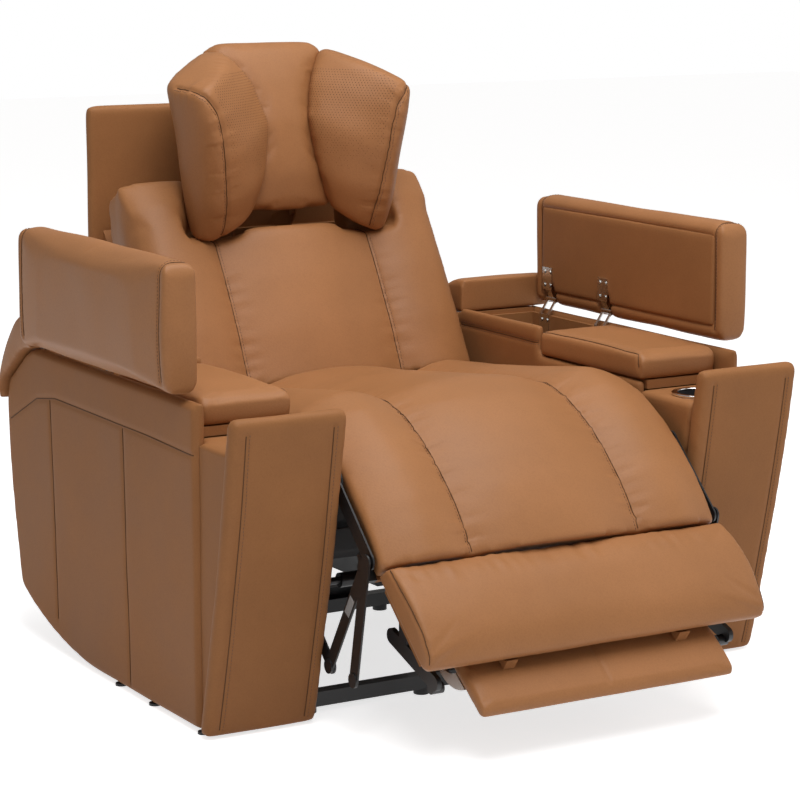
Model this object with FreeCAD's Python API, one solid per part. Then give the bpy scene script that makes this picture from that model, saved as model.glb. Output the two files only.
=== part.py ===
import FreeCAD, Part
import math
import os

os.makedirs("parts", exist_ok=True)
Vec = FreeCAD.Vector

# Sizes are in millimetres. The seat faces -Y, +X is to the right in a front view, +Z is up, and
# the origin is on the floor under the middle of the whole seat. Left and right are as seen from
# the front. The rest pose has both arm lids open, the footrest part way up and the headrest
# forward. A point of a side profile is (y, z), and a third number is the rise of the arc that
# leads to it, positive to the right of the way the outline runs.

# Arms
arm_outer = 520.0        # half width over the outer side panels
arm_inner = 332.0        # half width between the arms
side_thick = 22.0
inner_thick = 18.0
arm_front = -240.0       # front edge of the outer side panel
arm_top = 520.0
panel_foot = 4.0         # gap between the panels and the floor
beyond = 500.0           # reach of the blocks that trim other shapes
bottom_flat_end = 110.0  # the bottom edge curves up behind here
rear_low = (471.0, 85.0)
rear_high = (519.0, 409.0)
chamfer_low = (508.0, 452.0)
chamfer_high = (425.0, 510.0)
chamfer_start = 395.0
inner_bottom = 60.0

# Raked front board, cup platform and cup
board_outer = arm_outer + 8.0
board_thick = 30.0
board_foot_y = -280.0    # front face at the floor
board_lean = 107.0       # how far the top stands forward of the foot
board_top = 508.0        # start of the rounded top
board_round = 13.0
board_bow = 8.0
platform_z = 462.0
platform_rear = -205.0
wedge_side = arm_outer - 8.0
cup_x = arm_inner + 66.0
cup_y = -288.0
cup_radius = 40.0
cup_wall = 2.5
cup_depth = 60.0
ring_radius = 47.5
ring_height = 4.0

# Deck pad, storage bin and rear block
deck_front = -212.0
deck_rear = 105.0
deck_base = 477.0
deck_outer = arm_outer - side_thick - 5.0
deck_height = 48.0
deck_crown = 3.5
wall_top = 529.4
bin_floor = 215.0
bin_top = 512.0
bin_wall = 8.0
block_front = 372.0
block_outer = arm_outer + 14.0
block_inner = arm_inner + 4.0
block_top = 584.0

# Lids, drawn standing open, and their hinges
lid_inner = arm_outer - 24.0
lid_thick = 58.0
lid_low = 529.0
lid_high = 736.0
lid_front = -212.0
lid_rear = 368.0
lid_round = 20.0
lid_board_thick = 10.0
lid_board_margin = 22.0
hinge_x = lid_inner + 11.0
hinge_z = 541.0
hinge_ys = (139.0, 321.0)
leaf_thick = 2.5
leaf_width = 30.0
leaf_height = 42.0
leaf_low = 560.0         # lower edge of the leaf on the lid
plate_height = 42.0
barrel_radius = 5.0
hinge_pin = 2.6
pin_clearance = 0.05
knuckle_width = 18.0
screw_radius = 2.0
screw_length = 8.0
screw_head = 4.0

# Floor frame
rail_size = 24.0
rail_foot = 10.0
front_rail_y = -220.0
rear_rail_y = 280.0
track_x = arm_inner - 29.0
track_width = 22.0
glide_radius = 13.0
supply_size = (150.0, 58.0, 40.0)

# Footrest, hinged on the seat's side plates
knee_y = -320.0
knee_z = 395.0
heel_radius = 115.6
heel_gap = 0.6
pad_half = arm_inner - 17.0
seam_half = 155.0
groove_depth = 12.0
shoulder_drop = 14.0
chaise_line = ((-250.0, 487.0), (-286.0, 469.0), (-324.0, 447.0), (-368.0, 413.0),
               (-410.0, 375.0), (-443.0, 336.0), (-472.0, 294.0))
chaise_depth = 62.0
roll_front = (-590.0, 182.0)
roll_foot = (-566.0, 150.0)
roll_depth = 48.0
rest_board = 10.0
arm_reach = 150.0        # knee axis to the linkage pin on the footrest arm
arm_drop = 44.0          # degrees below level of that line
link_shift = (115.0, -190.0)
second_shift = (38.0, -194.0)
carrier_rear = (-414.0, 166.0)
carrier_front = (-540.0, 122.0)
flap_half = pad_half - 81.0
flap_front = (-618.0, 92.0)
flap_rear = (-530.0, 158.0)
flap_thick = 24.0
flap_crown = 4.0
runner_x = 160.0

# Side plates and linkage lie in four planes between the pads and the arms
plate_thick = 3.0
plate_gap = 0.4
pivot_radius = 6.0
pivot_boss = 14.0
recline_y = 330.0
recline_z = 330.0

# Seat
seat_crown = (-190.0, 502.0)
seat_mid = (20.0, 476.0)
seat_rear = (262.0, 452.0)
seat_base = 402.0
deck_thick = 12.0
seat_rail_height = 40.0
seat_rail_width = 30.0
front_tube = (-120.0, 300.0)
rear_tube = (230.0, 262.0)
tube_radius = 12.0

# Back and headrest
back_low = (281.0, 434.0)
back_seam_top = (417.0, 681.0)
shoulder = (489.0, 768.0)
back_half = pad_half - 9.0
back_depth = 118.0
channel_crown = 13.0
bolster_rise = 6.0
shell_front = 600.0
shell_thick = 28.0
shell_low = 215.0
shell_high = 918.0
frame_board = 15.0
frame_half = back_half - 16.0
rib_thick = 15.0
head_hinge_y = 515.0
head_hinge_z = 715.0
lug_x = 56.0
ear_x = 49.0

# Drives and controls
motor_y = 205.0
motor_z = 135.0
crank_drop = (-30.0, -70.0)
back_motor_x = 80.0
back_lever = 100.0
rod_radius = 9.0
panel_y = -100.0
panel_z = 502.0
panel_size = (96.0, 28.0, 12.0)
button_size = 14.0
button_pitch = 21.0
button_proud = 1.8
button_travel = 1.2


def toward_right(start, end, rise):
    # Middle point of the arc from start to end that rises to the right of its way.
    dy = end[0] - start[0]
    dz = end[1] - start[1]
    length = math.hypot(dy, dz)
    return ((start[0] + end[0]) / 2 + rise * dz / length, (start[1] + end[1]) / 2 - rise * dy / length)


def outline(points, place):
    # Closed wire through the points. place turns (a, b) into a point in space.
    edges = []
    for index, point in enumerate(points):
        start = points[index - 1][:2]
        end = point[:2]
        if len(point) == 3:
            middle = toward_right(start, end, point[2])
            edges.append(Part.Arc(place(*start), place(*middle), place(*end)).toShape())
        else:
            edges.append(Part.makeLine(place(*start), place(*end)))
    return Part.Wire(edges)


def across(points, x0, x1):
    # Side profile of (y, z) points, drawn out from x0 to x1.
    wire = outline(points, lambda y, z: Vec(x0, y, z))
    return Part.Face(wire).extrude(Vec(x1 - x0, 0, 0))


def along(points, y0, y1):
    # Front profile of (x, z) points, drawn out from y0 to y1.
    wire = outline(points, lambda x, z: Vec(x, y0, z))
    return Part.Face(wire).extrude(Vec(0, y1 - y0, 0))


def block(x0, x1, y0, y1, z0, z1):
    return Part.makeBox(x1 - x0, y1 - y0, z1 - z0, Vec(x0, y0, z0))


def rod_x(radius, x0, x1, y, z):
    return Part.makeCylinder(radius, x1 - x0, Vec(x0, y, z), Vec(1, 0, 0))


def rod_y(radius, y0, y1, x, z):
    return Part.makeCylinder(radius, y1 - y0, Vec(x, y0, z), Vec(0, 1, 0))


def bar(start, end, half, x0, x1):
    # Flat bar with round ends between two (y, z) points, in the plane from x0 to x1.
    dy = end[0] - start[0]
    dz = end[1] - start[1]
    length = math.hypot(dy, dz)
    side = (-dz / length * half, dy / length * half)
    corners = [(start[0] + side[0], start[1] + side[1]), (start[0] - side[0], start[1] - side[1]),
               (end[0] - side[0], end[1] - side[1]), (end[0] + side[0], end[1] + side[1])]
    straight = across(corners, x0, x1)
    return join([straight, rod_x(half, x0, x1, *start), rod_x(half, x0, x1, *end)])


def join(shapes):
    whole = shapes[0]
    for shape in shapes[1:]:
        whole = whole.fuse(shape)
    return whole.removeSplitter()


def soften(shape, radius, test):
    return shape.makeFillet(radius, [edge for edge in shape.Edges if test(edge)])


def at_x(*values):
    def test(edge):
        return any(all(abs(v.X - x) < 0.01 for v in edge.Vertexes) for x in values)
    return test


def at_y(*values):
    def test(edge):
        return any(all(abs(v.Y - y) < 0.01 for v in edge.Vertexes) for y in values)
    return test


def mirrored(shape):
    return shape.mirror(Vec(0, 0, 0), Vec(1, 0, 0))


def both(shape):
    return [shape, mirrored(shape)]


def save(name, shapes):
    if not isinstance(shapes, list):
        shapes = [shapes]
    solids = [solid for shape in shapes for solid in shape.Solids]
    body = solids[0] if len(solids) == 1 else Part.makeCompound(solids)
    body.exportStep("parts/" + name + ".step")


def save_pair(name, shape):
    save(name + "_right", shape)
    save(name + "_left", mirrored(shape))


# Outer panel: flat foot, curved rear, chamfered rear top
def side_panel():
    profile = [(arm_front, panel_foot), (bottom_flat_end, panel_foot), rear_low + (24.0,),
               rear_high + (9.0,), chamfer_low, chamfer_high, (chamfer_start, arm_top),
               (arm_front, arm_top)]
    panel = across(profile, arm_outer - side_thick, arm_outer)
    return soften(panel, 7.0, at_x(arm_outer))


def inner_panel():
    rear_y = rear_high[0] - 12.0
    profile = [(platform_rear, inner_bottom), (rear_low[0] - 20.0, inner_bottom),
               (rear_y, rear_high[1], 10.0), chamfer_low, chamfer_high, (chamfer_start, arm_top),
               (block_front, arm_top), (block_front, wall_top), (deck_rear, wall_top),
               (deck_rear, deck_base), (platform_rear, deck_base)]
    return across(profile, arm_inner, arm_inner + inner_thick)


def board_profile():
    back_foot = (board_foot_y + board_thick, panel_foot)
    back_top = (board_foot_y - board_lean + board_thick, board_top)
    front_top = (board_foot_y - board_lean, board_top)
    front_foot = (board_foot_y, panel_foot, board_bow)
    return [front_foot, back_foot, back_top + (-board_bow,), front_top + (board_round,)]


def front_board():
    board = across(board_profile(), arm_inner, board_outer)
    return soften(board, 9.0, at_x(arm_inner, board_outer))


# The wedge fills the space behind the raked board, and its top carries the cup
def arm_wedge():
    reach = board_foot_y - board_lean
    def raw(x0, x1, rear):
        return block(x0, x1, reach, rear, panel_foot, platform_z)
    wedge = join([raw(arm_inner + 0.5, arm_outer - side_thick, platform_rear),
                  raw(arm_outer - side_thick, wedge_side, arm_front)])
    board = across(board_profile(), arm_inner - 10, board_outer)
    rest = [solid for solid in wedge.cut(board).Solids if solid.BoundBox.YMax > arm_front - 1]
    cup_hole = Part.makeCylinder(cup_radius + 0.2, cup_depth + 0.2, Vec(cup_x, cup_y, platform_z - cup_depth - 0.2))
    return rest[0].cut(cup_hole)


def cup_liner():
    low = Vec(cup_x, cup_y, platform_z - cup_depth)
    outer = Part.makeCylinder(cup_radius, cup_depth, low)
    inner = Part.makeCylinder(cup_radius - cup_wall, cup_depth, low + Vec(0, 0, cup_wall))
    return outer.cut(inner)


def cup_ring():
    low = Vec(cup_x, cup_y, platform_z)
    ring = Part.makeCylinder(ring_radius, ring_height, low)
    ring = ring.cut(Part.makeCylinder(cup_radius - cup_wall, ring_height, low))
    top = platform_z + ring_height
    return ring.makeFillet(1.5, [e for e in ring.Edges if abs(e.BoundBox.ZMin - top) < 0.01 and len(e.Vertexes) == 1])


def deck_pad():
    top = deck_base + deck_height
    profile = [(deck_front + 4, deck_base), (deck_rear, deck_base), (deck_rear, top - 2),
               (deck_front + 18, top, deck_crown), (deck_front, top - 20, 5.0)]
    pad = across(profile, arm_inner, deck_outer)
    return soften(pad, 7.0, lambda e: at_x(arm_inner, deck_outer)(e) and e.BoundBox.ZMax > deck_base + 21)


def storage_bin():
    outer = block(arm_inner + inner_thick, arm_outer - side_thick, deck_rear, block_front, bin_floor, bin_top)
    inner = block(arm_inner + inner_thick + bin_wall, arm_outer - side_thick - bin_wall,
                  deck_rear + bin_wall, block_front - bin_wall, bin_floor + bin_wall, bin_top + 1)
    return outer.cut(inner)


def rear_block():
    profile = [(block_front, arm_top), (chamfer_start, arm_top), chamfer_high, chamfer_low, rear_high,
               (rear_high[0] + 12, rear_high[1] + 6), (rear_high[0] + 8, chamfer_low[1], 1.5),
               (chamfer_high[0] + 30, chamfer_high[1] + 48, 8.0), (block_front, block_top, 9.0)]
    pad = across(profile, block_inner, block_outer)
    def rounded(edge):
        middle = edge.BoundBox.Center
        above = middle.z - chamfer_high[1] + (middle.y - chamfer_high[0]) * 0.7
        return at_x(block_inner, block_outer)(edge) and above > 24 and middle.y > block_front + 1
    return soften(pad, 10.0, rounded)


def arm_frame():
    x0 = arm_inner + inner_thick
    x1 = arm_outer - side_thick
    floor = block(x0, x1, platform_rear, 200, panel_foot + 20, panel_foot + 38)
    shelf = block(x0, x1, platform_rear, deck_rear, platform_z, deck_base)
    bearer = block(x0, x1, deck_rear, block_front, bin_floor - 18, bin_floor)
    rear = block(x0, x1, block_front, block_front + 18, 150, arm_top)
    post = block(x0, x1, deck_rear - 18, deck_rear, panel_foot + 38, platform_z)
    return [floor, shelf, bearer, rear, post]


# Hinges: a leaf on the lid and a plate on the bin wall, joined by a pin on the hinge line
def screw_points(y, low, height):
    return [(y + side * leaf_width * 0.3, low + height * share) for side in (-1, 1) for share in (0.2, 0.8)]


def screw(face, y, z, into):
    # Pan head against the face at x = face, shank going the way into points.
    shank = Part.makeCylinder(screw_radius, screw_length, Vec(face, y, z), Vec(into, 0, 0))
    head = Part.makeCylinder(screw_head, 1.8, Vec(face, y, z), Vec(-into, 0, 0))
    return shank.fuse(head).removeSplitter()


def screw_hole(face, y, z, into):
    return Part.makeCylinder(screw_radius + 0.02, screw_length + 0.5, Vec(face, y, z), Vec(into, 0, 0))


def strap(a, b, half, y0, y1):
    # Folded strap between two (x, z) points.
    dx = b[0] - a[0]
    dz = b[1] - a[1]
    length = math.hypot(dx, dz)
    side = (-dz / length * half, dx / length * half)
    corners = [(a[0] + side[0], a[1] + side[1]), (b[0] + side[0], b[1] + side[1]),
               (b[0] - side[0], b[1] - side[1]), (a[0] - side[0], a[1] - side[1])]
    return along(corners, y0, y1)


leaf_face = lid_inner - leaf_thick
wall_face = arm_outer - side_thick - bin_wall
plate_face = wall_face - leaf_thick
plate_low = bin_top - 1 - plate_height


def lid_leaf(y):
    half = knuckle_width / 2 - 0.3
    leaf = block(leaf_face, lid_inner, y - leaf_width / 2, y + leaf_width / 2, leaf_low, leaf_low + leaf_height)
    for sy, sz in screw_points(y, leaf_low, leaf_height):
        leaf = leaf.cut(screw_hole(leaf_face - 1, sy, sz, 1))
    neck = strap((lid_inner - leaf_thick / 2, leaf_low + 6), (hinge_x, hinge_z), leaf_thick / 2, y - half, y + half)
    barrel = rod_y(barrel_radius, y - half, y + half, hinge_x, hinge_z)
    bore = rod_y(hinge_pin + pin_clearance, y - half - 1, y + half + 1, hinge_x, hinge_z)
    return join([leaf, neck, barrel]).cut(bore)


def wall_plate(y):
    inner = knuckle_width / 2
    outer = inner + 7.0
    plate = block(plate_face, wall_face, y - leaf_width / 2, y + leaf_width / 2, plate_low, bin_top + 2)
    for sy, sz in screw_points(y, plate_low, plate_height):
        plate = plate.cut(screw_hole(plate_face - 1, sy, sz, 1))
    pieces = [plate, rod_y(hinge_pin, y - outer, y + outer, hinge_x, hinge_z)]
    for y0, y1 in ((y - outer, y - inner), (y + inner, y + outer)):
        pieces.append(strap((wall_face - leaf_thick / 2, bin_top + 1.5), (hinge_x, hinge_z), leaf_thick / 2, y0, y1))
        pieces.append(rod_y(barrel_radius, y0, y1, hinge_x, hinge_z))
    return join(pieces)


def lid_screws(y):
    return [screw(leaf_face, sy, sz, 1) for sy, sz in screw_points(y, leaf_low, leaf_height)]


def wall_screws(y):
    return [screw(plate_face, sy, sz, 1) for sy, sz in screw_points(y, plate_low, plate_height)]


def lid_core(grow):
    m = lid_board_margin
    return block(lid_inner, lid_inner + lid_board_thick + grow, lid_front + m - grow, lid_rear - m + grow,
                 lid_low + m + 5 - grow, lid_high - m + grow)


def hinge_pocket(y):
    half = leaf_width / 2 + 3.0
    return block(lid_inner - 1, hinge_x + barrel_radius + 4, y - half, y + half, lid_low - 1, leaf_low + 9)


def lid_board():
    board = lid_core(0)
    for y in hinge_ys:
        board = board.cut(hinge_pocket(y))
        for sy, sz in screw_points(y, leaf_low, leaf_height):
            board = board.cut(screw_hole(leaf_face, sy, sz, 1))
    return board


def lid_pad():
    r = lid_round
    x0 = lid_inner
    x1 = lid_inner + lid_thick
    bow = r * (1 - math.sqrt(0.5)) * 0.96
    profile = [(x0 + r, lid_low), (x1 - r, lid_low), (x1, lid_low + r, bow), (x1, lid_high - r, 2.5),
               (x1 - r, lid_high, bow), (x0 + r, lid_high), (x0, lid_high - r, bow), (x0, lid_low + r),
               (x0 + r, lid_low, bow)]
    profile = [profile[-1]] + profile[1:-1]
    pad = soften(along(profile, lid_front, lid_rear), 6.0, at_y(lid_front, lid_rear))
    pad = pad.cut(lid_core(0))
    for y in hinge_ys:
        pad = pad.cut(hinge_pocket(y))
    return pad


# Floor frame: cross rails, seat tracks and glides
def floor_rails():
    rails = []
    for y in (front_rail_y, rear_rail_y):
        rails.append(block(-arm_inner, arm_inner, y - rail_size / 2, y + rail_size / 2, rail_foot, rail_foot + rail_size))
    return rails


def track_rails():
    y0 = front_rail_y + rail_size / 2
    y1 = rear_rail_y - rail_size / 2
    track = block(track_x - track_width / 2, track_x + track_width / 2, y0, y1, rail_foot, rail_foot + rail_size)
    return both(track)


def glides():
    feet = []
    spread = arm_inner - 17.0
    for x in (-spread, -spread / 3, spread / 3, spread):
        for y in (front_rail_y, rear_rail_y):
            feet.append(Part.makeCylinder(glide_radius, rail_foot, Vec(x, y, 0)))
    front_y = board_foot_y + board_thick + 12
    under_side = arm_outer - side_thick / 2
    for x, y in ((arm_inner + 13, front_y), (under_side, front_y), (under_side, -60.0), (under_side, 70.0)):
        feet += both(Part.makeCylinder(10.0, panel_foot, Vec(x, y, 0)))
    return feet


def power_supply():
    length, depth, height = supply_size
    y0 = rear_rail_y + rail_size / 2
    case = block(-length / 2, length / 2, y0, y0 + depth, rail_foot, rail_foot + height)
    case = soften(case, 4.0, lambda e: abs(e.BoundBox.YMin - y0) > 1 and e.BoundBox.YLength < 1)
    inlet = block(-14, 14, y0 + depth - 16, y0 + depth + 1, rail_foot + 11, rail_foot + 29)
    return case.cut(inlet)


# Planes of the side plates and links, counted outwards from the pads
def plane(number):
    x0 = pad_half + plate_gap + number * (plate_thick + plate_gap)
    return x0, x0 + plate_thick


knee = (knee_y, knee_z)
recline = (recline_y, recline_z)
arm_pin = (knee_y - arm_reach * math.cos(math.radians(arm_drop)),
           knee_z - arm_reach * math.sin(math.radians(arm_drop)))
lower_pin = (knee_y + link_shift[0], knee_z + link_shift[1])
free_pin = (arm_pin[0] + link_shift[0], arm_pin[1] + link_shift[1])


def side_plates():
    x0, x1 = plane(0)
    low = rail_foot + rail_size + 8
    web = across([(-160, 90), (-40, low), (-20, 150), (60, 150), (80, low), (250, low),
                  (recline_y + 16, recline_z - 30), (recline_y + 14, recline_z + 14), (200, seat_base - 10),
                  (-195, seat_base - 10), (knee_y, knee_z + pivot_boss), (knee_y - 8, knee_z - 12),
                  (-232, 330), (lower_pin[0] - 17, lower_pin[1] - 15), (-170, 180)], x0, x1)
    plate = join([web, rod_x(pivot_boss + 4, x0, x1, *knee), rod_x(pivot_boss + 6, x0, x1, *recline),
                  rod_x(pivot_boss + 6, x0, x1, *lower_pin)])
    for pin in (knee, recline, lower_pin):
        plate = plate.cut(rod_x(pivot_radius + pin_clearance, x0 - 1, x1 + 1, *pin))
    shoes = []
    for y in (-80.0, 190.0):
        shoes.append(block(track_x - 9, x0, y, y + 50, rail_foot + rail_size + 0.3, rail_foot + rail_size + 22))
    return both(plate) + [solid for shoe in shoes for solid in both(shoe)]


def seat_rails():
    x1 = plane(0)[0]
    top = seat_base - deck_thick
    front_y = -195.0
    rails = []
    for y in (front_y, seat_rear[0] - 42):
        rails.append(block(-x1, x1, y, y + seat_rail_width, top - seat_rail_height, top))
    for low, high in ((300.0, 340.0), (238.0, 286.0)):
        rails.append(block(-x1, x1, front_y, front_y + 4, low, high))
    for tube in (front_tube, rear_tube):
        rails.append(rod_x(tube_radius, -x1, x1, *tube))
    return rails


def seat_deck():
    half = pad_half - 15
    return block(-half, half, -195, seat_rear[0] - 8, seat_base - deck_thick, seat_base)


# Upholstery with three channels: each section is a flat base, drawn-in sides and three crowns
def channel_section(origin, normal, depth, drop):
    def place(x, h):
        return Vec(x, origin[0] + normal[0] * h, origin[1] + normal[1] * h)
    groove = groove_depth
    points = [(-pad_half + 4, -depth), (pad_half - 4, -depth), (pad_half, -drop - 8),
              (seam_half, -groove, 14.0), (-seam_half, -groove, 13.0), (-pad_half, -drop - 8, 14.0)]
    return outline(points, place)


def normals(line):
    # Unit normals of a (y, z) line that runs towards the front, pointing up.
    result = []
    for index in range(len(line)):
        a = line[max(index - 1, 0)]
        b = line[min(index + 1, len(line) - 1)]
        dy = b[0] - a[0]
        dz = b[1] - a[1]
        length = math.hypot(dy, dz)
        result.append((dz / length, -dy / length))
    return result


def heel_solid(radius):
    return rod_x(radius, -pad_half - 20, pad_half + 20, *knee)


def seat_cushion():
    stations = [seat_rear, (120.0, 464.0), seat_mid, (-90.0, 490.0), seat_crown, (-270.0, 480.0)]
    sections = []
    for y, z in stations:
        sections.append(channel_section((y, z), (0, 1), z - seat_base, shoulder_drop))
    cushion = Part.makeLoft(sections, True, True)
    front = block(-beyond, beyond, knee_y - beyond, knee_y + 2, 0, 2 * beyond)
    return cushion.cut(heel_solid(heel_radius + heel_gap)).cut(front)


def chaise_pad():
    lead = (chaise_line[0][0] + 62.0, chaise_line[0][1] + 16.0)
    line = (lead,) + chaise_line
    sections = []
    for point, normal in zip(line, normals(line)):
        sections.append(channel_section(point, normal, chaise_depth, shoulder_drop))
    pad = Part.makeLoft(sections, True, True)
    keep = heel_solid(heel_radius).fuse(block(-beyond, beyond, knee_y - beyond, knee_y, 0, 2 * beyond))
    return pad.common(keep)


def cross_seam():
    # Upper and lower ends of the face where the chaise pad meets the roll pad.
    normal = normals(chaise_line)[-1]
    top = chaise_line[-1]
    return top, (top[0] - normal[0] * roll_depth, top[1] - normal[1] * roll_depth)


def roll_pad():
    top, under = cross_seam()
    normal = normals(chaise_line)[-1]
    gap = 0.3
    shift = (normal[1] * gap, -normal[0] * gap)
    top = (top[0] - shift[0] - normal[0] * 4, top[1] - shift[1] - normal[1] * 4)
    under = (under[0] - shift[0], under[1] - shift[1])
    profile = [top, roll_front + (15.0,), roll_foot + (12.0,), under]
    pad = across(profile, -pad_half, pad_half)
    def rounded(edge):
        return at_x(-pad_half, pad_half)(edge) and edge.BoundBox.Center.y < top[0] - 4 and edge.Length < 200
    return soften(pad, 10.0, rounded)


board_half = pad_half - 12.0


def board_strip(first, gap):
    # Side profile of the board under the chaise pad, from one station of its line to the end.
    stations = list(zip(chaise_line, normals(chaise_line)))[first:]
    rows = []
    for depth in (chaise_depth + gap, chaise_depth + rest_board):
        rows.append([(p[0] - n[0] * depth, p[1] - n[1] * depth) for p, n in stations])
    return rows[0] + rows[1][::-1]


def footrest_board():
    return across(board_strip(2, 0), -board_half, board_half)


def roll_board():
    under = cross_seam()[1]
    foot = (roll_foot[0] + 14, roll_foot[1] + 11)
    dy = foot[0] - under[0]
    dz = foot[1] - under[1]
    length = math.hypot(dy, dz)
    inward = (-dz / length * rest_board, dy / length * rest_board)
    start = (under[0] + dy / length * 22, under[1] + dz / length * 22)
    profile = [start, foot, (foot[0] + inward[0], foot[1] + inward[1]), (start[0] + inward[0], start[1] + inward[1])]
    return across(profile, -board_half, board_half)


def carrier_arm():
    # Arm under the roll pad that carries the lower flap, with its lug up to the board.
    x0 = flap_half + 34
    x1 = x0 + 8
    arm = bar(carrier_rear, carrier_front, 12.0, x0, x1)
    heel = (carrier_rear[0] - 36, carrier_rear[1] - 10)
    lug = bar(heel, (heel[0], heel[1] + 90), 11.0, x0, x1)
    bushing = rod_x(9.0, x0 - 12, x1, carrier_front[0] + 8, carrier_front[1] - 10)
    return join([arm, lug, bushing]).cut(roll_board()).cut(roll_pad())


def footrest_arms():
    x0, x1 = plane(1)
    inner = plane(0)[0]
    tab = board_strip(-2, 0.3)
    end = ((tab[0][0] + tab[2][0]) / 2, (tab[0][1] + tab[2][1]) / 2)
    plate = join([bar(knee, arm_pin, pivot_boss - 1, x0, x1), bar(arm_pin, end, pivot_boss - 3, x0, x1)])
    pin = rod_x(pivot_radius, inner, x0 + 0.5, *knee)
    stud = rod_x(pivot_radius, x1 - 0.5, plane(3)[1] + 0.3, *arm_pin)
    return join([plate, pin, stud, across(tab, board_half, x0 + 0.5)])


def flap_frame():
    dy = flap_rear[0] - flap_front[0]
    dz = flap_rear[1] - flap_front[1]
    length = math.hypot(dy, dz)
    return (dy / length, dz / length), (-dz / length, dy / length), length


def flap_point(back, height):
    way, normal, length = flap_frame()
    return (flap_front[0] + way[0] * back + normal[0] * height, flap_front[1] + way[1] * back + normal[1] * height)


def flap_runners():
    # Guide strips between the board over the roll and the top of the flap that slides under it.
    length = flap_frame()[2]
    low = flap_crown + 0.3
    strip = across([flap_point(length * 0.6, low), flap_point(length * 0.6, 24), flap_point(length + 88, 24),
                    flap_point(length + 88, low)], runner_x - 10, runner_x + 10)
    return both(strip.cut(roll_board()).cut(roll_pad()))


def flap_pad():
    length = flap_frame()[2]
    t = flap_thick
    profile = [flap_point(length, 0), flap_point(8, 0) + (flap_crown,), flap_point(8, -t) + (10.0,), flap_point(length, -t)]
    pad = across(profile, -flap_half, flap_half)
    def rounded(edge):
        return at_x(-flap_half, flap_half)(edge) and edge.Length > 30
    return soften(pad, 6.0, rounded)


def flap_links():
    # Curved flat links under the flap, drawn as an arc that ends on the flap's underside.
    length = flap_frame()[2]
    x0 = flap_half + 4
    a = flap_point(length * 0.55, -flap_thick)
    b = flap_point(length + 14, -flap_thick - 34)
    c = flap_point(length + 26, -flap_thick - 22)
    d = flap_point(length * 0.85, -flap_thick)
    curve = across([a, b + (10.0,), c, d + (-8.0,)], x0 - 12, x0 - 8)
    return both(curve)


def lower_links():
    x0, x1 = plane(2)
    link = bar(lower_pin, free_pin, 12.0, x0, x1).fuse(rod_x(13.0, x0, x1, *free_pin))
    tube = rod_x(pivot_radius, -x1 + 0.5, x1 - 0.5, *lower_pin)
    sleeve = rod_x(12.0, -flap_half - 16, flap_half + 16, *lower_pin)
    crank_end = (lower_pin[0] + crank_drop[0], lower_pin[1] + crank_drop[1])
    crank = bar(lower_pin, crank_end, 12.0, -7.0, 7.0)
    pin = rod_x(5.0, -9.0, 9.0, *crank_end)
    return join([link, mirrored(link), tube, sleeve, crank, pin])


def upright_links():
    x0, x1 = plane(3)
    second = (arm_pin[0] + second_shift[0], arm_pin[1] + second_shift[1])
    link = join([bar(arm_pin, free_pin, 11.0, x0, x1), bar(arm_pin, second, 12.0, x0, x1),
                 rod_x(12.0, x0, x1 + 2, *second), rod_x(12.0, x0, x1 + 2, *free_pin)])
    link = link.cut(rod_x(pivot_radius + pin_clearance, x0 - 1, x1 + 3, *arm_pin))
    return both(link)


# Drives: motor housings on the carriage, rods that slide out of them
def foot_motor():
    rod_z = lower_pin[1] + crank_drop[1]
    housing = block(-34, 34, motor_y - 150, motor_y + 20, rod_z - 26, rod_z + 26)
    housing = soften(housing, 6.0, lambda e: e.BoundBox.YLength > 100)
    y0 = rear_tube[0] - tube_radius
    y1 = rear_tube[0] + tube_radius
    tail = block(-20, 20, motor_y + 20, y1, rod_z - 8, rod_z + 26)
    hanger = block(-20, 20, y0, y1, rod_z + 26, rear_tube[1])
    bore = rod_y(rod_radius + 0.3, motor_y - 151, motor_y - 8, 0, rod_z)
    return join([housing, tail, hanger]).cut(bore).cut(rod_x(tube_radius, -40, 40, *rear_tube))


def foot_rod():
    rod_z = lower_pin[1] + crank_drop[1]
    end = lower_pin[0] + crank_drop[0]
    rod = rod_y(rod_radius, end + 30, motor_y - 78, 0, rod_z)
    yoke = block(-15, 15, end + 22, end + 34, rod_z - 9, rod_z + 9)
    pieces = [rod, yoke]
    for x0 in (-15.0, 10.5):
        pieces.append(block(x0, x0 + 4.5, end - 12, end + 24, rod_z - 9, rod_z + 9))
    return join(pieces)


def back_motor():
    z = recline_z - back_lever
    x = back_motor_x
    housing = block(x - 34, x + 34, -150, 30, z - 26, z + 26)
    housing = soften(housing, 6.0, lambda e: e.BoundBox.YLength > 100)
    bore = rod_y(rod_radius + 0.3, -78, 31, x, z)
    hanger = block(x - 20, x + 20, front_tube[0] - tube_radius, front_tube[0] + tube_radius, z + 26, front_tube[1])
    return join([housing, hanger]).cut(bore).cut(rod_x(tube_radius, x - 60, x + 60, *front_tube))


def back_rod():
    z = recline_z - back_lever
    x = back_motor_x
    rod = rod_y(rod_radius, -15, recline_y - 26, x, z)
    yoke = block(x - 15, x + 15, recline_y - 30, recline_y - 18, z - 9, z + 9)
    pieces = [rod, yoke]
    for x0 in (x - 15, x + 10.5):
        pieces.append(block(x0, x0 + 4.5, recline_y - 20, recline_y + 12, z - 9, z + 9))
    return join(pieces)


# Back: three channels in front of a frame, with a flat outer shell
def back_way():
    dy = back_seam_top[0] - back_low[0]
    dz = back_seam_top[1] - back_low[1]
    length = math.hypot(dy, dz)
    return (dy / length, dz / length)


def back_sections(rows, stations):
    # One section per station. A row is (x, height over the seam line) and the rise of its arc.
    sections = []
    way = back_way()
    for y, z, depth in stations:
        def place(x, h, y=y, z=z):
            return Vec(x, y - way[1] * h, z + way[0] * h)
        base = [(rows[0][0], -depth)]
        sections.append(outline(base + list(rows) + [(rows[-1][0] - 3.0, -depth)], place))
    return sections


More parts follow.
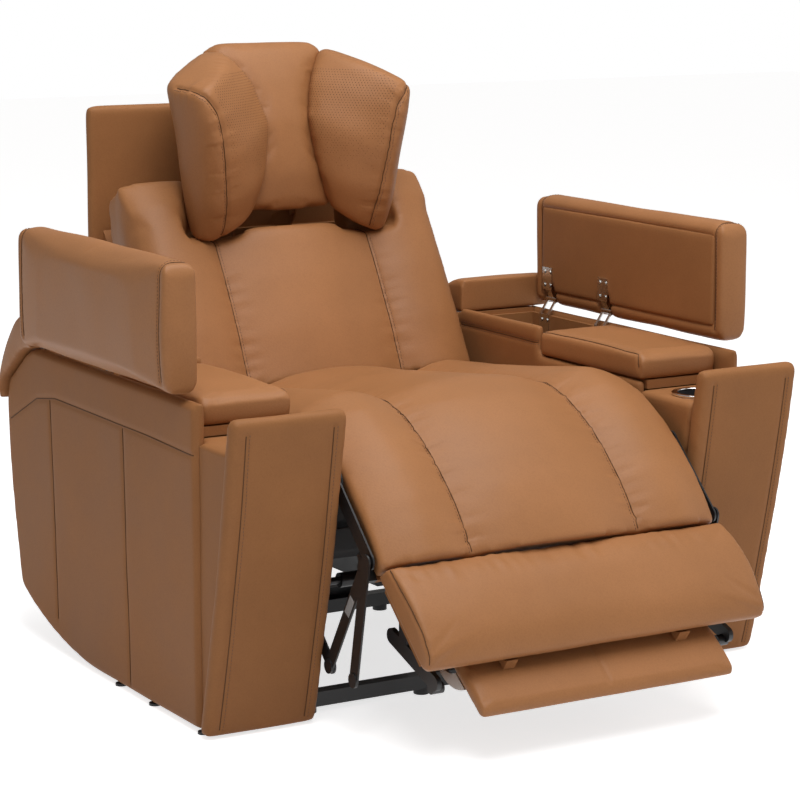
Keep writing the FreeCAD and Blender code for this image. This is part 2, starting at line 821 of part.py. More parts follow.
def back_stations(ends):
    way = back_way()
    stations = []
    for share in (0.0, 0.35, 0.7, 1.0):
        bow = 6.0 * math.sin(math.pi * share)
        y = back_low[0] + share * (back_seam_top[0] - back_low[0]) - way[1] * bow
        z = back_low[1] + share * (back_seam_top[1] - back_low[1]) + way[0] * bow
        stations.append((y, z, back_depth + bow))
    return stations + ends


def back_centre():
    way = back_way()
    lip = (back_seam_top[0] + way[0] * 16 + 4, back_seam_top[1] + way[1] * 16 - 3, back_depth)
    sections = []
    for y, z, depth in back_stations([lip]):
        def place(x, h, y=y, z=z):
            return Vec(x, y - way[1] * h, z + way[0] * h)
        points = [(-seam_half, -depth), (-seam_half, 0), (seam_half, 0, -channel_crown), (seam_half, -depth)]
        sections.append(outline(points, place))
    return Part.makeLoft(sections, True, True).cut(head_room())


def back_bolster():
    ends = [(shoulder[0] - 38, shoulder[1] - 34, back_depth - 8), (shoulder[0] + 12, shoulder[1] + 6, 64.0)]
    rows = ((seam_half, 0), (back_half - 12, bolster_rise, -channel_crown), (back_half, bolster_rise - 16, -4.0))
    bolster = Part.makeLoft(back_sections(rows, back_stations(ends)), True, True)
    shell_side = block(0, beyond, shell_front - 0.3, shell_front + beyond, 0, 2 * beyond)
    return bolster.cut(head_room()).cut(shell_side)


def back_rear(share):
    # Point on the rear of the cushion, a share of the way up.
    way = back_way()
    y = back_low[0] + share * (back_seam_top[0] - back_low[0]) + way[1] * back_depth
    z = back_low[1] + share * (back_seam_top[1] - back_low[1]) - way[0] * back_depth
    return (y, z)


def board_corners():
    way = back_way()
    step = (way[1] * frame_board, -way[0] * frame_board)
    low = back_rear(0)
    high = back_rear(0.98)
    return low, (low[0] + step[0], low[1] + step[1]), (high[0] + step[0], high[1] + step[1]), high


def back_board():
    return across(board_corners(), -frame_half, frame_half)


def back_frame():
    front_low, rear_low_edge, rear_high_edge, front_high = board_corners()
    board = back_board()
    rib = across([rear_low_edge, (shell_front, shell_low + 30), (shell_front, 690), rear_high_edge],
                 frame_half - rib_thick, frame_half)
    rail = block(-frame_half + rib_thick, frame_half - rib_thick, shell_front - 18, shell_front, 600, 680)
    y = head_hinge_y
    z = head_hinge_z
    lug = across([(shell_front, 640), (shell_front, 700), (y + 4, z + 10), (y - 9, z + 3), (y - 3, z - 10),
                  (shell_front - 30, 640)], lug_x, lug_x + 4)
    lug = lug.fuse(rod_x(5.0, ear_x - 5, lug_x + 4, y, z)).removeSplitter().cut(rail)
    return [board, rail] + both(rib) + both(lug)


def back_brackets():
    x0 = frame_half
    x1 = plane(0)[0] - plate_gap
    low = back_rear(0)
    plate = across([(recline_y - 14, recline_z - 12), (recline_y + 4, recline_z - 20), (430, 330), (560, 420), (560, 560),
                    (520, 560), (low[0] + 40, low[1] + 20), (recline_y + 6, recline_z + 16)], x1 - 4, x1)
    tie = block(x0, x1 - 3.5, 540, 560, 430, 560)
    pin = rod_x(pivot_radius, x1 - 1, plane(0)[1] + plate_gap / 2, *recline)
    return both(join([plate, tie, pin])) + [back_lever_arm()]


def back_lever_arm():
    # Lever on the lower rib that the back motor's rod pulls.
    x = back_motor_x
    end = (recline_y, recline_z - back_lever)
    low = back_rear(0)
    step = frame_board * back_way()[1]
    arm = across([(end[0] - 8, end[1] - 8), (end[0] + 10, end[1] - 8), (low[0] + step + 40, low[1] + 20),
                  (low[0] + step + 8, low[1] + 6), (low[0] + 4, low[1] - 10)], x - 8, x + 8)
    arm = arm.fuse(rod_x(5.0, x - 9, x + 9, *end)).removeSplitter()
    return arm.cut(back_board())


def back_shell():
    shell = block(-pad_half, pad_half, shell_front, shell_front + shell_thick, shell_low, shell_high)
    return soften(shell, 12.0, lambda e: at_y(shell_front + shell_thick)(e) or (e.BoundBox.YLength > 20))


# Headrest: tilted sections from the bottom up. A row gives the crease beside the centre, the
# front edge and the outer rear edge of a wing, and the plan place of its inner rear edge.
head_rows = (
    ((88.0, 424.0, 730.0), (163.0, 398.0, 684.0), (190.0, 434.0, 692.0), (112.0, 500.0)),
    ((62.0, 415.0, 800.0), (165.0, 366.0, 752.0), (204.0, 434.0, 762.0), (106.0, 520.0)),
    ((48.0, 428.0, 891.0), (172.0, 350.0, 836.0), (215.0, 436.0, 848.0), (104.0, 528.0)),
    ((68.0, 460.0, 960.0), (186.0, 344.0, 905.0), (222.0, 446.0, 918.0), (110.0, 530.0)),
    ((106.0, 492.0, 1008.0), (198.0, 350.0, 954.0), (226.0, 456.0, 960.0), (122.0, 528.0)),
)
head_top = 1022.0
wing_bulge = 12.0
nose_step = (20.0, 15.0)
room_gap = 2.0


def head_row(row):
    # Corner points of one wing section, all in the plane through its first three points.
    crease, front, outer = [Vec(*point) for point in row[:3]]
    normal = (front - crease).cross(outer - crease).normalize()
    if normal.z < 0:
        normal = normal * -1
    def level(x, y):
        return Vec(x, y, crease.z - (normal.x * (x - crease.x) + normal.y * (y - crease.y)) / normal.z)
    nose = level(front.x + nose_step[0], front.y + nose_step[1])
    return crease, front, nose, outer, level(*row[3]), normal


def bowed(start, end, rise, normal):
    # Arc in the plane with this normal, or a straight line where there is no rise.
    if not rise:
        return Part.makeLine(start, end)
    side = (end - start).cross(normal).normalize()
    return Part.Arc(start, (start + end) * 0.5 + side * rise, end).toShape()


def headrest_wing():
    sections = []
    for row in head_rows:
        crease, front, nose, outer, rear, normal = head_row(row)
        sections.append(Part.Wire([bowed(crease, front, wing_bulge, normal), bowed(front, nose, 3.0, normal),
                                   bowed(nose, outer, 6.0, normal), bowed(outer, rear, 9.0, normal),
                                   bowed(rear, crease, 0, normal)]))
    return Part.makeLoft(sections, True, True)


def headrest_centre():
    sections = []
    for row in head_rows:
        crease, front, nose, outer, rear, normal = head_row(row)
        left = Vec(-crease.x, crease.y, crease.z)
        rear_left = Vec(-rear.x, rear.y, rear.z)
        level = (crease - left).cross(rear - crease).normalize()
        sections.append(Part.Wire([bowed(left, crease, 5.0, level), bowed(crease, rear, 0, level),
                                   bowed(rear, rear_left, 0, level), bowed(rear_left, left, 0, level)]))
    top = [(-84.0, 502.0), (84.0, 502.0, 2.0), (96.0, 520.0), (-96.0, 520.0)]
    sections.append(outline(top, lambda x, y: Vec(x, y, head_top)))
    return Part.makeLoft(sections, True, True)


def head_room():
    # Space kept free in the back cushions for the lower end of the headrest.
    crease, front, nose, outer, rear, normal = head_row(head_rows[0])
    gap = Vec(0, 0, room_gap)
    ring = [crease - gap, front - gap + Vec(6, -36, 0), nose - gap + Vec(30, -16, 0), outer - gap + Vec(34, 0, 0),
            rear - gap + Vec(14, 30, 0)]
    wire = Part.makePolygon([Vec(p.x, p.y, p.z) for p in flatten(ring)] + [flatten(ring)[0]])
    side = Part.Face(wire).extrude(Vec(0, 0, beyond))
    low = crease.z - room_gap
    middle = block(-crease.x - 1, crease.x + 1, crease.y - 40, rear.y + 40, low, low + beyond)
    return join([side, mirrored(side), middle])


def flatten(ring):
    # The same points, all at the height of the lowest one.
    low = min(point.z for point in ring)
    return [Vec(point.x, point.y, low) for point in ring]


def headrest_bracket():
    y = head_hinge_y
    z = head_hinge_z
    ear = across([(y - 8, z - 6), (y + 8, z - 8), (y + 18, z + 40), (y + 18, z + 120), (y + 15, z + 120),
                  (y + 8, z + 20), (y - 6, z + 9)], ear_x - 5, ear_x)
    ear = ear.cut(rod_x(5.0 + pin_clearance, ear_x - 9, ear_x + 6, y, z))
    plate = block(-ear_x, ear_x, y + 2, y + 18, z + 60, z + 120).cut(headrest_centre())
    return join([ear, mirrored(ear), plate])


# Controls on the left arm's inner side
def control_box(grow):
    length, height, depth = panel_size
    return block(-arm_inner - depth + 3 - grow, -arm_inner + 3, panel_y - length / 2 - grow,
                 panel_y + length / 2 + grow, panel_z - height / 2 - grow, panel_z + height / 2 + grow)


def button_place(number):
    return panel_y + (number - 1.5) * button_pitch


def button(number, grow):
    half = button_size / 2 + grow
    y = button_place(number)
    front = -arm_inner + 3 + button_proud
    return block(front - 7.0, front, y - half, y + half, panel_z - half, panel_z + half)


def control_panel():
    panel = control_box(0)
    for number in range(4):
        hole = button(number, 0.25)
        hole.translate(Vec(-button_travel - 0.4, 0, 0))
        panel = panel.cut(hole).cut(button(number, 0.25))
    return panel


deck_right = deck_pad()
save("deck_pad_right", deck_right)
save("deck_pad_left", mirrored(deck_right).cut(control_box(0)))
save_pair("side_panel", side_panel())
save_pair("inner_panel", inner_panel())
save_pair("front_board", front_board())
save_pair("arm_wedge", arm_wedge())
save("cup_liners", both(cup_liner()))
save("cup_rings", both(cup_ring()))
bin_right = storage_bin()
for hinge_y in hinge_ys:
    for sy, sz in screw_points(hinge_y, plate_low, plate_height):
        bin_right = bin_right.cut(screw_hole(plate_face, sy, sz, 1))
save_pair("storage_bin", bin_right)
save_pair("rear_block", rear_block())
save("arm_frames", [solid for board in arm_frame() for solid in both(board)])
wall_set = [piece for y in hinge_ys for piece in [wall_plate(y)] + wall_screws(y)]
lid_set = [piece for y in hinge_ys for piece in [lid_leaf(y)] + lid_screws(y)]
save("bin_hinges_right", wall_set)
save("bin_hinges_left", [mirrored(piece) for piece in wall_set])
save("lid_hinges_right", lid_set)
save("lid_hinges_left", [mirrored(piece) for piece in lid_set])
save_pair("lid_pad", lid_pad())
save_pair("lid_board", lid_board())
save("floor_rails", floor_rails())
save("track_rails", track_rails())
save("glides", glides())
save("power_supply", power_supply())
save("side_plates", side_plates())
save("seat_rails", seat_rails())
save("seat_deck", seat_deck())
save("seat_cushion", seat_cushion())
save("chaise_pad", chaise_pad())
save("roll_pad", roll_pad())
save("footrest_board", [footrest_board(), roll_board()] + flap_runners())
save("footrest_arms", both(footrest_arms()) + both(max(carrier_arm().Solids, key=lambda solid: solid.Volume)))
save("flap_pad", flap_pad())
save("flap_links", flap_links())
save("lower_links", lower_links())
save("upright_links", upright_links())
save("foot_motor", foot_motor())
save("foot_rod", foot_rod())
save("back_motor", back_motor())
save("back_rod", back_rod())
save("back_centre", back_centre())
save_pair("back_bolster", back_bolster())
save("back_frame", back_frame())
save("back_brackets", back_brackets())
save("back_shell", back_shell())
save("headrest_centre", headrest_centre())
save_pair("headrest_wing", headrest_wing())
save("headrest_bracket", headrest_bracket())
save("control_panel", control_panel())
for number in range(4):
    save("button_" + str(number + 1), button(number, 0))
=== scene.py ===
import bpy
import bmesh
import math
import numpy as np
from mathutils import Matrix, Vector, noise
from mathutils.bvhtree import BVHTree
from mathutils.kdtree import KDTree


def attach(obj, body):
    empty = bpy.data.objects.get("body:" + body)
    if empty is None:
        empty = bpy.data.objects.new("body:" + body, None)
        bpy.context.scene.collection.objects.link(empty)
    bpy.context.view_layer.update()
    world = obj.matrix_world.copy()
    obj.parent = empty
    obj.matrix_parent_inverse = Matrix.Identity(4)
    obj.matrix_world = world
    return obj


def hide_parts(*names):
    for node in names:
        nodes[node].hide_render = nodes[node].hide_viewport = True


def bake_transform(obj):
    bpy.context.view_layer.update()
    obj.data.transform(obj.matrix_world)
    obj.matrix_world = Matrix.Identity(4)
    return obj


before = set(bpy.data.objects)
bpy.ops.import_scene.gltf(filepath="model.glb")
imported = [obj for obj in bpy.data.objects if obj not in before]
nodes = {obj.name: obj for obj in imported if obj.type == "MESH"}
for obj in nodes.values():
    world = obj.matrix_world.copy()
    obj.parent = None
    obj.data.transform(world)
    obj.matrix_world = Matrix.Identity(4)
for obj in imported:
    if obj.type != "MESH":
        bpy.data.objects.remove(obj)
bpy.context.scene.view_settings.view_transform = "Standard"
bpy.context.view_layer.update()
leatherTone = (0.362, 0.156, 0.058)      # linear colour of the brown leather
left = -1
right = 1


# Shader effects that several materials share

def newGroup(name, inputs, outputs):
    group = bpy.data.node_groups.new(name, "ShaderNodeTree")
    for label, kind, value in inputs:
        socket = group.interface.new_socket(label, in_out="INPUT", socket_type=kind)
        socket.default_value = value
    for label, kind in outputs:
        group.interface.new_socket(label, in_out="OUTPUT", socket_type=kind)
    return group, group.nodes.new("NodeGroupInput"), group.nodes.new("NodeGroupOutput")


def addNode(tree, kind, links=None, **settings):
    # One node with its settings, and its inputs linked or set from the dictionary
    made = tree.nodes.new(kind)
    for key, value in settings.items():
        setattr(made, key, value)
    for key, value in (links or {}).items():
        if isinstance(value, bpy.types.NodeSocket):
            tree.links.new(value, made.inputs[key])
        else:
            made.inputs[key].default_value = value
    return made


def mixColour(tree, factor, a, b, blend="MIX"):
    mix = tree.nodes.new("ShaderNodeMix")
    mix.data_type = "RGBA"
    mix.blend_type = blend
    for index, value in ((0, factor), (6, a), (7, b)):
        if isinstance(value, bpy.types.NodeSocket):
            tree.links.new(value, mix.inputs[index])
        else:
            mix.inputs[index].default_value = value
    return mix.outputs[2]


def makeLeatherSkin():
    # Pebbled grain, slow changes of tone and faint pull lines
    group, inn, out = newGroup("leatherSkin", [
        ("Base", "NodeSocketColor", (*leatherTone, 1)), ("Grain Size", "NodeSocketFloat", 420.0),
        ("Tone Change", "NodeSocketFloat", 0.14), ("Sheen Change", "NodeSocketFloat", 0.08),
        ("Roughness", "NodeSocketFloat", 0.46)],
        [("Color", "NodeSocketColor"), ("Roughness", "NodeSocketFloat"), ("Height", "NodeSocketFloat")])
    place = addNode(group, "ShaderNodeTexCoord").outputs["Object"]
    slow = addNode(group, "ShaderNodeTexNoise",
                   {"Vector": place, "Scale": 5.0, "Detail": 4.0, "Roughness": 0.55})
    mottle = addNode(group, "ShaderNodeTexNoise",
                     {"Vector": place, "Scale": 38.0, "Detail": 5.0, "Roughness": 0.6})
    pebble = addNode(group, "ShaderNodeTexVoronoi",
                     {"Vector": place, "Scale": inn.outputs["Grain Size"], "Randomness": 1.0},
                     feature="SMOOTH_F1")
    fine = addNode(group, "ShaderNodeTexNoise",
                   {"Vector": place, "Scale": 900.0, "Detail": 3.0, "Roughness": 0.6})
    tone = addNode(group, "ShaderNodeMapRange",
                   {"Value": slow.outputs["Fac"], "From Min": 0.3, "From Max": 0.7})
    lift = addNode(group, "ShaderNodeMath", {0: tone.outputs["Result"], 1: 0.5}, operation="SUBTRACT")
    both = addNode(group, "ShaderNodeMath", {0: mottle.outputs["Fac"], 1: 0.5}, operation="SUBTRACT")
    part = addNode(group, "ShaderNodeMath", {0: both.outputs[0], 1: 0.7}, operation="MULTIPLY")
    total = addNode(group, "ShaderNodeMath", {0: lift.outputs[0], 1: part.outputs[0]}, operation="ADD")
    scaled = addNode(group, "ShaderNodeMath", {0: total.outputs[0], 1: inn.outputs["Tone Change"]},
                     operation="MULTIPLY")
    factor = addNode(group, "ShaderNodeMath", {0: scaled.outputs[0], 1: 1.0}, operation="ADD")
    shade = addNode(group, "ShaderNodeHueSaturation",
                    {"Color": inn.outputs["Base"], "Value": factor.outputs[0]})
    pores = addNode(group, "ShaderNodeMapRange",
                    {"Value": pebble.outputs["Distance"], "From Min": 0.25, "From Max": 0.75,
                                                  "To Min": 0.0, "To Max": 0.10})
    colour = mixColour(group, pores.outputs["Result"], shade.outputs["Color"], (0.09, 0.035, 0.016, 1))
    group.links.new(colour, out.inputs["Color"])
    shine = addNode(group, "ShaderNodeMath", {0: total.outputs[0], 1: inn.outputs["Sheen Change"]},
                    operation="MULTIPLY")
    rough = addNode(group, "ShaderNodeMath", {0: shine.outputs[0], 1: inn.outputs["Roughness"]},
                    operation="ADD")
    group.links.new(rough.outputs[0], out.inputs["Roughness"])
    dome = addNode(group, "ShaderNodeMath", {0: 1.0, 1: pebble.outputs["Distance"]}, operation="SUBTRACT")
    small = addNode(group, "ShaderNodeMath", {0: fine.outputs["Fac"], 1: 0.35}, operation="MULTIPLY")
    height = addNode(group, "ShaderNodeMath", {0: dome.outputs[0], 1: small.outputs[0]}, operation="ADD")
    group.links.new(height.outputs[0], out.inputs["Height"])
    return group


leatherSkin = makeLeatherSkin()


def newMaterial(name):
    material = bpy.data.materials.new(name)
    material.use_nodes = True
    tree = material.node_tree
    tree.nodes.clear()
    out = tree.nodes.new("ShaderNodeOutputMaterial")
    shader = tree.nodes.new("ShaderNodeBsdfPrincipled")
    tree.links.new(shader.outputs[0], out.inputs[0])
    return material, tree, shader


def leather(name, shade=1.0, roughness=0.50, grain=420.0, bump=0.22, shine=0.28):
    material, tree, shader = newMaterial(name)
    skin = tree.nodes.new("ShaderNodeGroup")
    skin.node_tree = leatherSkin
    skin.inputs["Base"].default_value = (*[shade * c for c in leatherTone], 1)
    skin.inputs["Grain Size"].default_value = grain
    skin.inputs["Roughness"].default_value = roughness
    rise = addNode(tree, "ShaderNodeBump",
                   {"Height": skin.outputs["Height"], "Strength": bump, "Distance": 0.0006})
    tree.links.new(skin.outputs["Color"], shader.inputs["Base Color"])
    tree.links.new(skin.outputs["Roughness"], shader.inputs["Roughness"])
    tree.links.new(rise.outputs[0], shader.inputs["Normal"])
    shader.inputs["Specular IOR Level"].default_value = shine
    return material


def plainFinish(name, colour, roughness, metallic=0.0, speckle=300.0, bump=0.1, change=0.12, coat=0.0):
    # Paint, plastic or plate with a fine surface and a little unevenness in its shine
    material, tree, shader = newMaterial(name)
    place = addNode(tree, "ShaderNodeTexCoord").outputs["Object"]
    cloud = addNode(tree, "ShaderNodeTexNoise", {"Vector": place, "Scale": 14.0, "Detail": 4.0})
    grit = addNode(tree, "ShaderNodeTexNoise", {"Vector": place, "Scale": speckle, "Detail": 2.0})
    low = tuple(c * (1 - change) for c in colour)
    high = tuple(min(1, c * (1 + change)) for c in colour)
    tree.links.new(mixColour(tree, cloud.outputs["Fac"], (*low, 1), (*high, 1)),
                   shader.inputs["Base Color"])
    rough = addNode(tree, "ShaderNodeMapRange",
                    {"Value": cloud.outputs["Fac"], "From Min": 0.3, "From Max": 0.7,
                                                 "To Min": roughness * 0.85,
                                                 "To Max": min(1, roughness * 1.15)})
    tree.links.new(rough.outputs[0], shader.inputs["Roughness"])
    rise = addNode(tree, "ShaderNodeBump",
                   {"Height": grit.outputs["Fac"], "Strength": bump, "Distance": 0.0004})
    tree.links.new(rise.outputs[0], shader.inputs["Normal"])
    shader.inputs["Metallic"].default_value = metallic
    shader.inputs["Coat Weight"].default_value = coat
    return material


def plywood(name):
    material, tree, shader = newMaterial(name)
    place = addNode(tree, "ShaderNodeTexCoord").outputs["Object"]
    turn = addNode(tree, "ShaderNodeMapping", {"Vector": place, "Scale": (1.0, 9.0, 40.0)})
    grain = addNode(tree, "ShaderNodeTexNoise",
                    {"Vector": turn.outputs[0], "Scale": 7.0, "Detail": 6.0, "Distortion": 0.6})
    colour = mixColour(tree, grain.outputs["Fac"], (0.30, 0.17, 0.085, 1), (0.52, 0.35, 0.20, 1))
    tree.links.new(colour, shader.inputs["Base Color"])
    rise = addNode(tree, "ShaderNodeBump",
                   {"Height": grain.outputs["Fac"], "Strength": 0.15, "Distance": 0.0005})
    tree.links.new(rise.outputs[0], shader.inputs["Normal"])
    shader.inputs["Roughness"].default_value = 0.7
    return material


finishes = {
    "cover": leather("leatherCover"),
    # A darker, less shiny copy of the cover leather: its darkening is painted shade of the upright boards
    # turned away from the lamps
    "panel": leather("leatherPanelShaded", shade=0.90, roughness=0.58, grain=460.0, bump=0.18, shine=0.14),
    # Dark leather for the cords sunk in the seam channels: painted shade of the seams
    "seam": leather("seamShadow", shade=0.30, roughness=0.7, bump=0.1),
    "thread": plainFinish("stitchThread", (0.16, 0.072, 0.035), 0.65, speckle=2500.0, bump=0.5),
    # Near-black discs for the punched holes: the holes are real, their darkness is painted shade inside each
    # hole
    "holeShade": plainFinish("punchedHoleShade", (0.045, 0.02, 0.01), 0.9),
    "steel": plainFinish("blackSteel", (0.012, 0.012, 0.013), 0.42, speckle=500.0, coat=0.1),
    "plastic": plainFinish("blackPlastic", (0.02, 0.02, 0.022), 0.55, speckle=900.0, bump=0.25),
    "bright": plainFinish("brightSteel", (0.60, 0.59, 0.57), 0.26, metallic=1.0, speckle=700.0, bump=0.06),
    "zinc": plainFinish("zincPlate", (0.66, 0.66, 0.65), 0.22, metallic=1.0, speckle=600.0, bump=0.08),
    "chrome": plainFinish("cupChrome", (0.80, 0.80, 0.80), 0.1, metallic=1.0, bump=0.02, change=0.04),
    "label": plainFinish("bareLabel", (0.30, 0.30, 0.30), 0.6, speckle=800.0),
    "button": plainFinish("buttonGrey", (0.06, 0.06, 0.065), 0.35, speckle=900.0),
    "wood": plywood("plywood"),
}


# Helpers for the padded pieces

def meshObject(name, mesh):
    made = bpy.data.objects.new(name, mesh)
    bpy.context.scene.collection.objects.link(made)
    return made


def baked(piece):
    # The piece as a plain mesh with its modifiers applied
    bpy.context.view_layer.update()
    graph = bpy.context.evaluated_depsgraph_get()
    fresh = bpy.data.meshes.new_from_object(piece.evaluated_get(graph), depsgraph=graph)
    old = piece.data
    piece.modifiers.clear()
    piece.data = fresh
    if old.users == 0:
        (bpy.data.meshes if isinstance(old, bpy.types.Mesh) else bpy.data.curves).remove(old)
    return piece


def points(piece):
    flat = np.empty(len(piece.data.vertices) * 3)
    piece.data.vertices.foreach_get("co", flat)
    return flat.reshape(-1, 3)


def setPoints(piece, place):
    piece.data.vertices.foreach_set("co", np.ascontiguousarray(place).ravel())
    piece.data.update()


def vertexNormals(piece):
    flat = np.empty(len(piece.data.vertices) * 3)
    piece.data.vertices.foreach_get("normal", flat)
    return flat.reshape(-1, 3)


def softCopy(name, sources, voxel, smooth=4, shrink=0.0):
    # One closed even mesh over copies of the named solids
    joined = bmesh.new()
    for source in sources:
        joined.from_mesh(nodes[source].data)
    bmesh.ops.remove_doubles(joined, verts=joined.verts, dist=0.00002)
    mesh = bpy.data.meshes.new(name)
    joined.to_mesh(mesh)
    joined.free()
    mesh.materials.clear()
    piece = meshObject(name, mesh)
    even = piece.modifiers.new("even", "REMESH")
    even.mode = "VOXEL"
    even.voxel_size = voxel
    soft = piece.modifiers.new("soft", "SMOOTH")
    soft.iterations = smooth
    soft.factor = 0.5
    baked(piece)
    if shrink:
        setPoints(piece, points(piece) - vertexNormals(piece) * shrink)
    return piece


lineStep = 0.003      # metres between the points that stand for a line


def nearLines(lines, step=lineStep):
    # Tree of points along the lines, for distances to them
    dense = []
    for line in lines:
        for a, b in zip(line[:-1], line[1:]):
            a, b = Vector(a), Vector(b)
            count = max(1, int((b - a).length / step))
            dense += [a.lerp(b, i / count) for i in range(count)]
        dense.append(Vector(line[-1]))
    tree = KDTree(len(dense))
    for index, point in enumerate(dense):
        tree.insert(point, index)
    tree.balance()
    return tree


def lineDistance(piece, lines):
    tree = nearLines(lines)
    return np.array([tree.find(v.co)[2] for v in piece.data.vertices])


cloth = {"frames": 20, "tension": 12, "compression": 12, "shear": 6, "bend": 0.6, "quality": 4}


def puff(piece, held, pressure=4.0, cap=0.022):
    # The cover swells over its filling. held gives 0 to 1 for each vertex, 1 where it is sewn or backed.
    before = points(piece)
    group = piece.vertex_groups.new(name="held")
    for index, value in enumerate(held):
        if value > 0.01:
            group.add([index], float(min(1.0, value)), "REPLACE")
    swell = piece.modifiers.new("swell", "CLOTH")
    settings = swell.settings
    settings.use_pressure = True
    settings.uniform_pressure_force = pressure
    settings.vertex_group_mass = "held"
    settings.tension_stiffness = cloth["tension"]
    settings.compression_stiffness = cloth["compression"]
    settings.shear_stiffness = cloth["shear"]
    settings.bending_stiffness = cloth["bend"]
    settings.effector_weights.gravity = 0
    settings.quality = cloth["quality"]
    swell.collision_settings.use_collision = False
    scene = bpy.context.scene
    for step in range(1, cloth["frames"] + 1):
        scene.frame_set(step)
    baked(piece)
    scene.frame_set(1)
    after = points(piece)
    move = after - before
    size = np.linalg.norm(move, axis=1)
    far = np.maximum(size, 1e-9)
    setPoints(piece, before + move * (np.minimum(size, cap) / far)[:, None])
    piece.vertex_groups.clear()


def finer(piece, levels=1):
    more = piece.modifiers.new("finer", "SUBSURF")
    more.levels = levels
    more.render_levels = levels
    return baked(piece)


def sew(piece, lines, depth=0.004, width=0.006):
    # Presses a rounded channel into the surface along the lines
    distance = lineDistance(piece, lines)
    amount = depth * np.exp(-(distance / width) ** 2)
    setPoints(piece, points(piece) - vertexNormals(piece) * amount[:, None])


def plump(piece, lines, height, reach, face, soft=0.5):
    # Crowns the panels between their seams, on the side that the face direction names
    distance = lineDistance(piece, lines)
    toward = np.clip((vertexNormals(piece) @ np.array(Vector(face).normalized()) + 0.15) / soft, 0, 1)
    lift = height * (1 - np.exp(-(distance / reach) ** 1.6)) * toward
    setPoints(piece, points(piece) + vertexNormals(piece) * lift[:, None])


def ripple(piece, size, scale, seed=0.0, mask=None):
    # Slow unevenness of padding under leather
    place = points(piece)
    out = vertexNormals(piece)
    lift = np.array([noise.noise(Vector((p[0] * scale + seed, p[1] * scale, p[2] * scale))) for p in place])
    if mask is not None:
        lift = lift * mask
    setPoints(piece, place + out * (size * lift)[:, None])


def pucker(piece, lines, size=0.0015, reach=0.03, waves=90.0, seed=0.0):
    # Short gathers that run away from a seam
    tree = nearLines(lines)
    place = points(piece)
    out = vertexNormals(piece)
    lift = np.zeros(len(place))
    for index, point in enumerate(place):
        near, number, gap = tree.find(point)
        if gap < reach * 1.6:
            along = number * lineStep
            wave = noise.noise(Vector((along * waves, seed, gap * 9.0)))
            lift[index] = wave * math.exp(-((gap - 0.35 * reach) / (0.6 * reach)) ** 2)
    setPoints(piece, place + out * (size * lift)[:, None])


def surfaceTree(piece):
    bpy.context.view_layer.update()
    return BVHTree.FromObject(piece, bpy.context.evaluated_depsgraph_get())


def laid(tree, line, aim=None, step=0.004, lift=0.0):
    # The line dropped on the surface: along aim where it is given, or else to the nearest point
    result = []
    direction = Vector(aim).normalized() if aim is not None else None
    ends = [Vector(p) for p in line]
    for number, (a, b) in enumerate(zip(ends[:-1], ends[1:])):
        count = max(1, int(round((b - a).length / step)))
        last = 1 if number == len(ends) - 2 else 0
        for index in range(count + last):
            point = a.lerp(b, index / count)
            if direction is not None:
                hit, normal, face, distance = tree.ray_cast(point - direction * 0.12, direction, 0.3)
            else:
                hit, normal, face, distance = tree.find_nearest(point)
            if hit is not None:
                result.append(hit + normal * lift)
    return result


def beside(tree, line, amount):
    # The line moved sideways over the surface
    result = []
    for index, point in enumerate(line):
        ahead = line[min(index + 1, len(line) - 1)]
        behind = line[max(index - 1, 0)]
        tangent = (ahead - behind).normalized()
        hit, normal, face, distance = tree.find_nearest(point)
        result.append(point + tangent.cross(normal).normalized() * amount)
    return result


def finishSoft(piece, body, replaced, finish):
    piece.data.materials.clear()
    piece.data.materials.append(finishes[finish])
    piece.data.polygons.foreach_set("use_smooth", [True] * len(piece.data.polygons))
    piece.data.polygons.foreach_set("material_index", [0] * len(piece.data.polygons))
    if replaced:
        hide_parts(*replaced)
    carry(piece, body)


def carry(piece, body):
    # The seat and leg pad and its seams keep their place as plain meshes; every other piece hangs on its
    # body's empty
    if body == "seatBend":
        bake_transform(piece)
    else:
        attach(piece, body)


def roundCorner(piece, corner, radius, ways, axes=(1, 2)):
    # Pulls the points beyond a corner's arc back to it, in the plane of two axes
    place = points(piece)
    u, v = axes
    du = ways[0] * (place[:, u] - (corner[0] - ways[0] * radius))
    dv = ways[1] * (place[:, v] - (corner[1] - ways[1] * radius))
    far = np.hypot(du, dv)
    out = (du > 0) & (dv > 0) & (far > radius)
    scale = np.where(out, (radius + 0.2 * (far - radius)) / np.maximum(far, 1e-6), 1.0)
    place[:, u] += ways[0] * du * (scale - 1.0) * out
    place[:, v] += ways[1] * dv * (scale - 1.0) * out
    setPoints(piece, place)


def keepWithin(piece, half):
    # Stops the sides of a swollen pad short of what stands beside it
    place = points(piece)
    place[:, 0] = np.clip(place[:, 0], -half, half)
    setPoints(piece, place)


# Seam lines for the dark cords of painted seam shade, and stitches

seamShadeLines = {}
stitchLines = {}
threads = {"shadeCordRadius": 0.0009, "shadeCordStep": 0.006, "spacing": 0.0058, "length": 0.0042,
           "thickness": 0.0012}


def note(store, body, line):
    # Collects a line for the runs at the end
    if len(line) > 1:
        store.setdefault(body, []).append([Vector(p) for p in line])


def sewnSeams(piece, body, lines, aim=None, stitch=(), depth=0.0035, width=0.005, shadeCord=True):
    # Channels, sunk lines for the dark cords of painted seam shade, and rows of stitches of a piece
    tree = surfaceTree(piece)
    onTop = [laid(tree, line, aim) for line in lines]
    onTop = [line for line in onTop if len(line) > 1]
    sew(piece, onTop, depth, width)
    tree = surfaceTree(piece)
    result = []
    for line in onTop:
        sunk = laid(tree, line, aim, lift=0.0002)
        result.append(sunk)
        if shadeCord:
            note(seamShadeLines, body, sunk)
        for offset in stitch:
            note(stitchLines, body, laid(tree, beside(tree, sunk, offset), lift=0.0002))
    return result


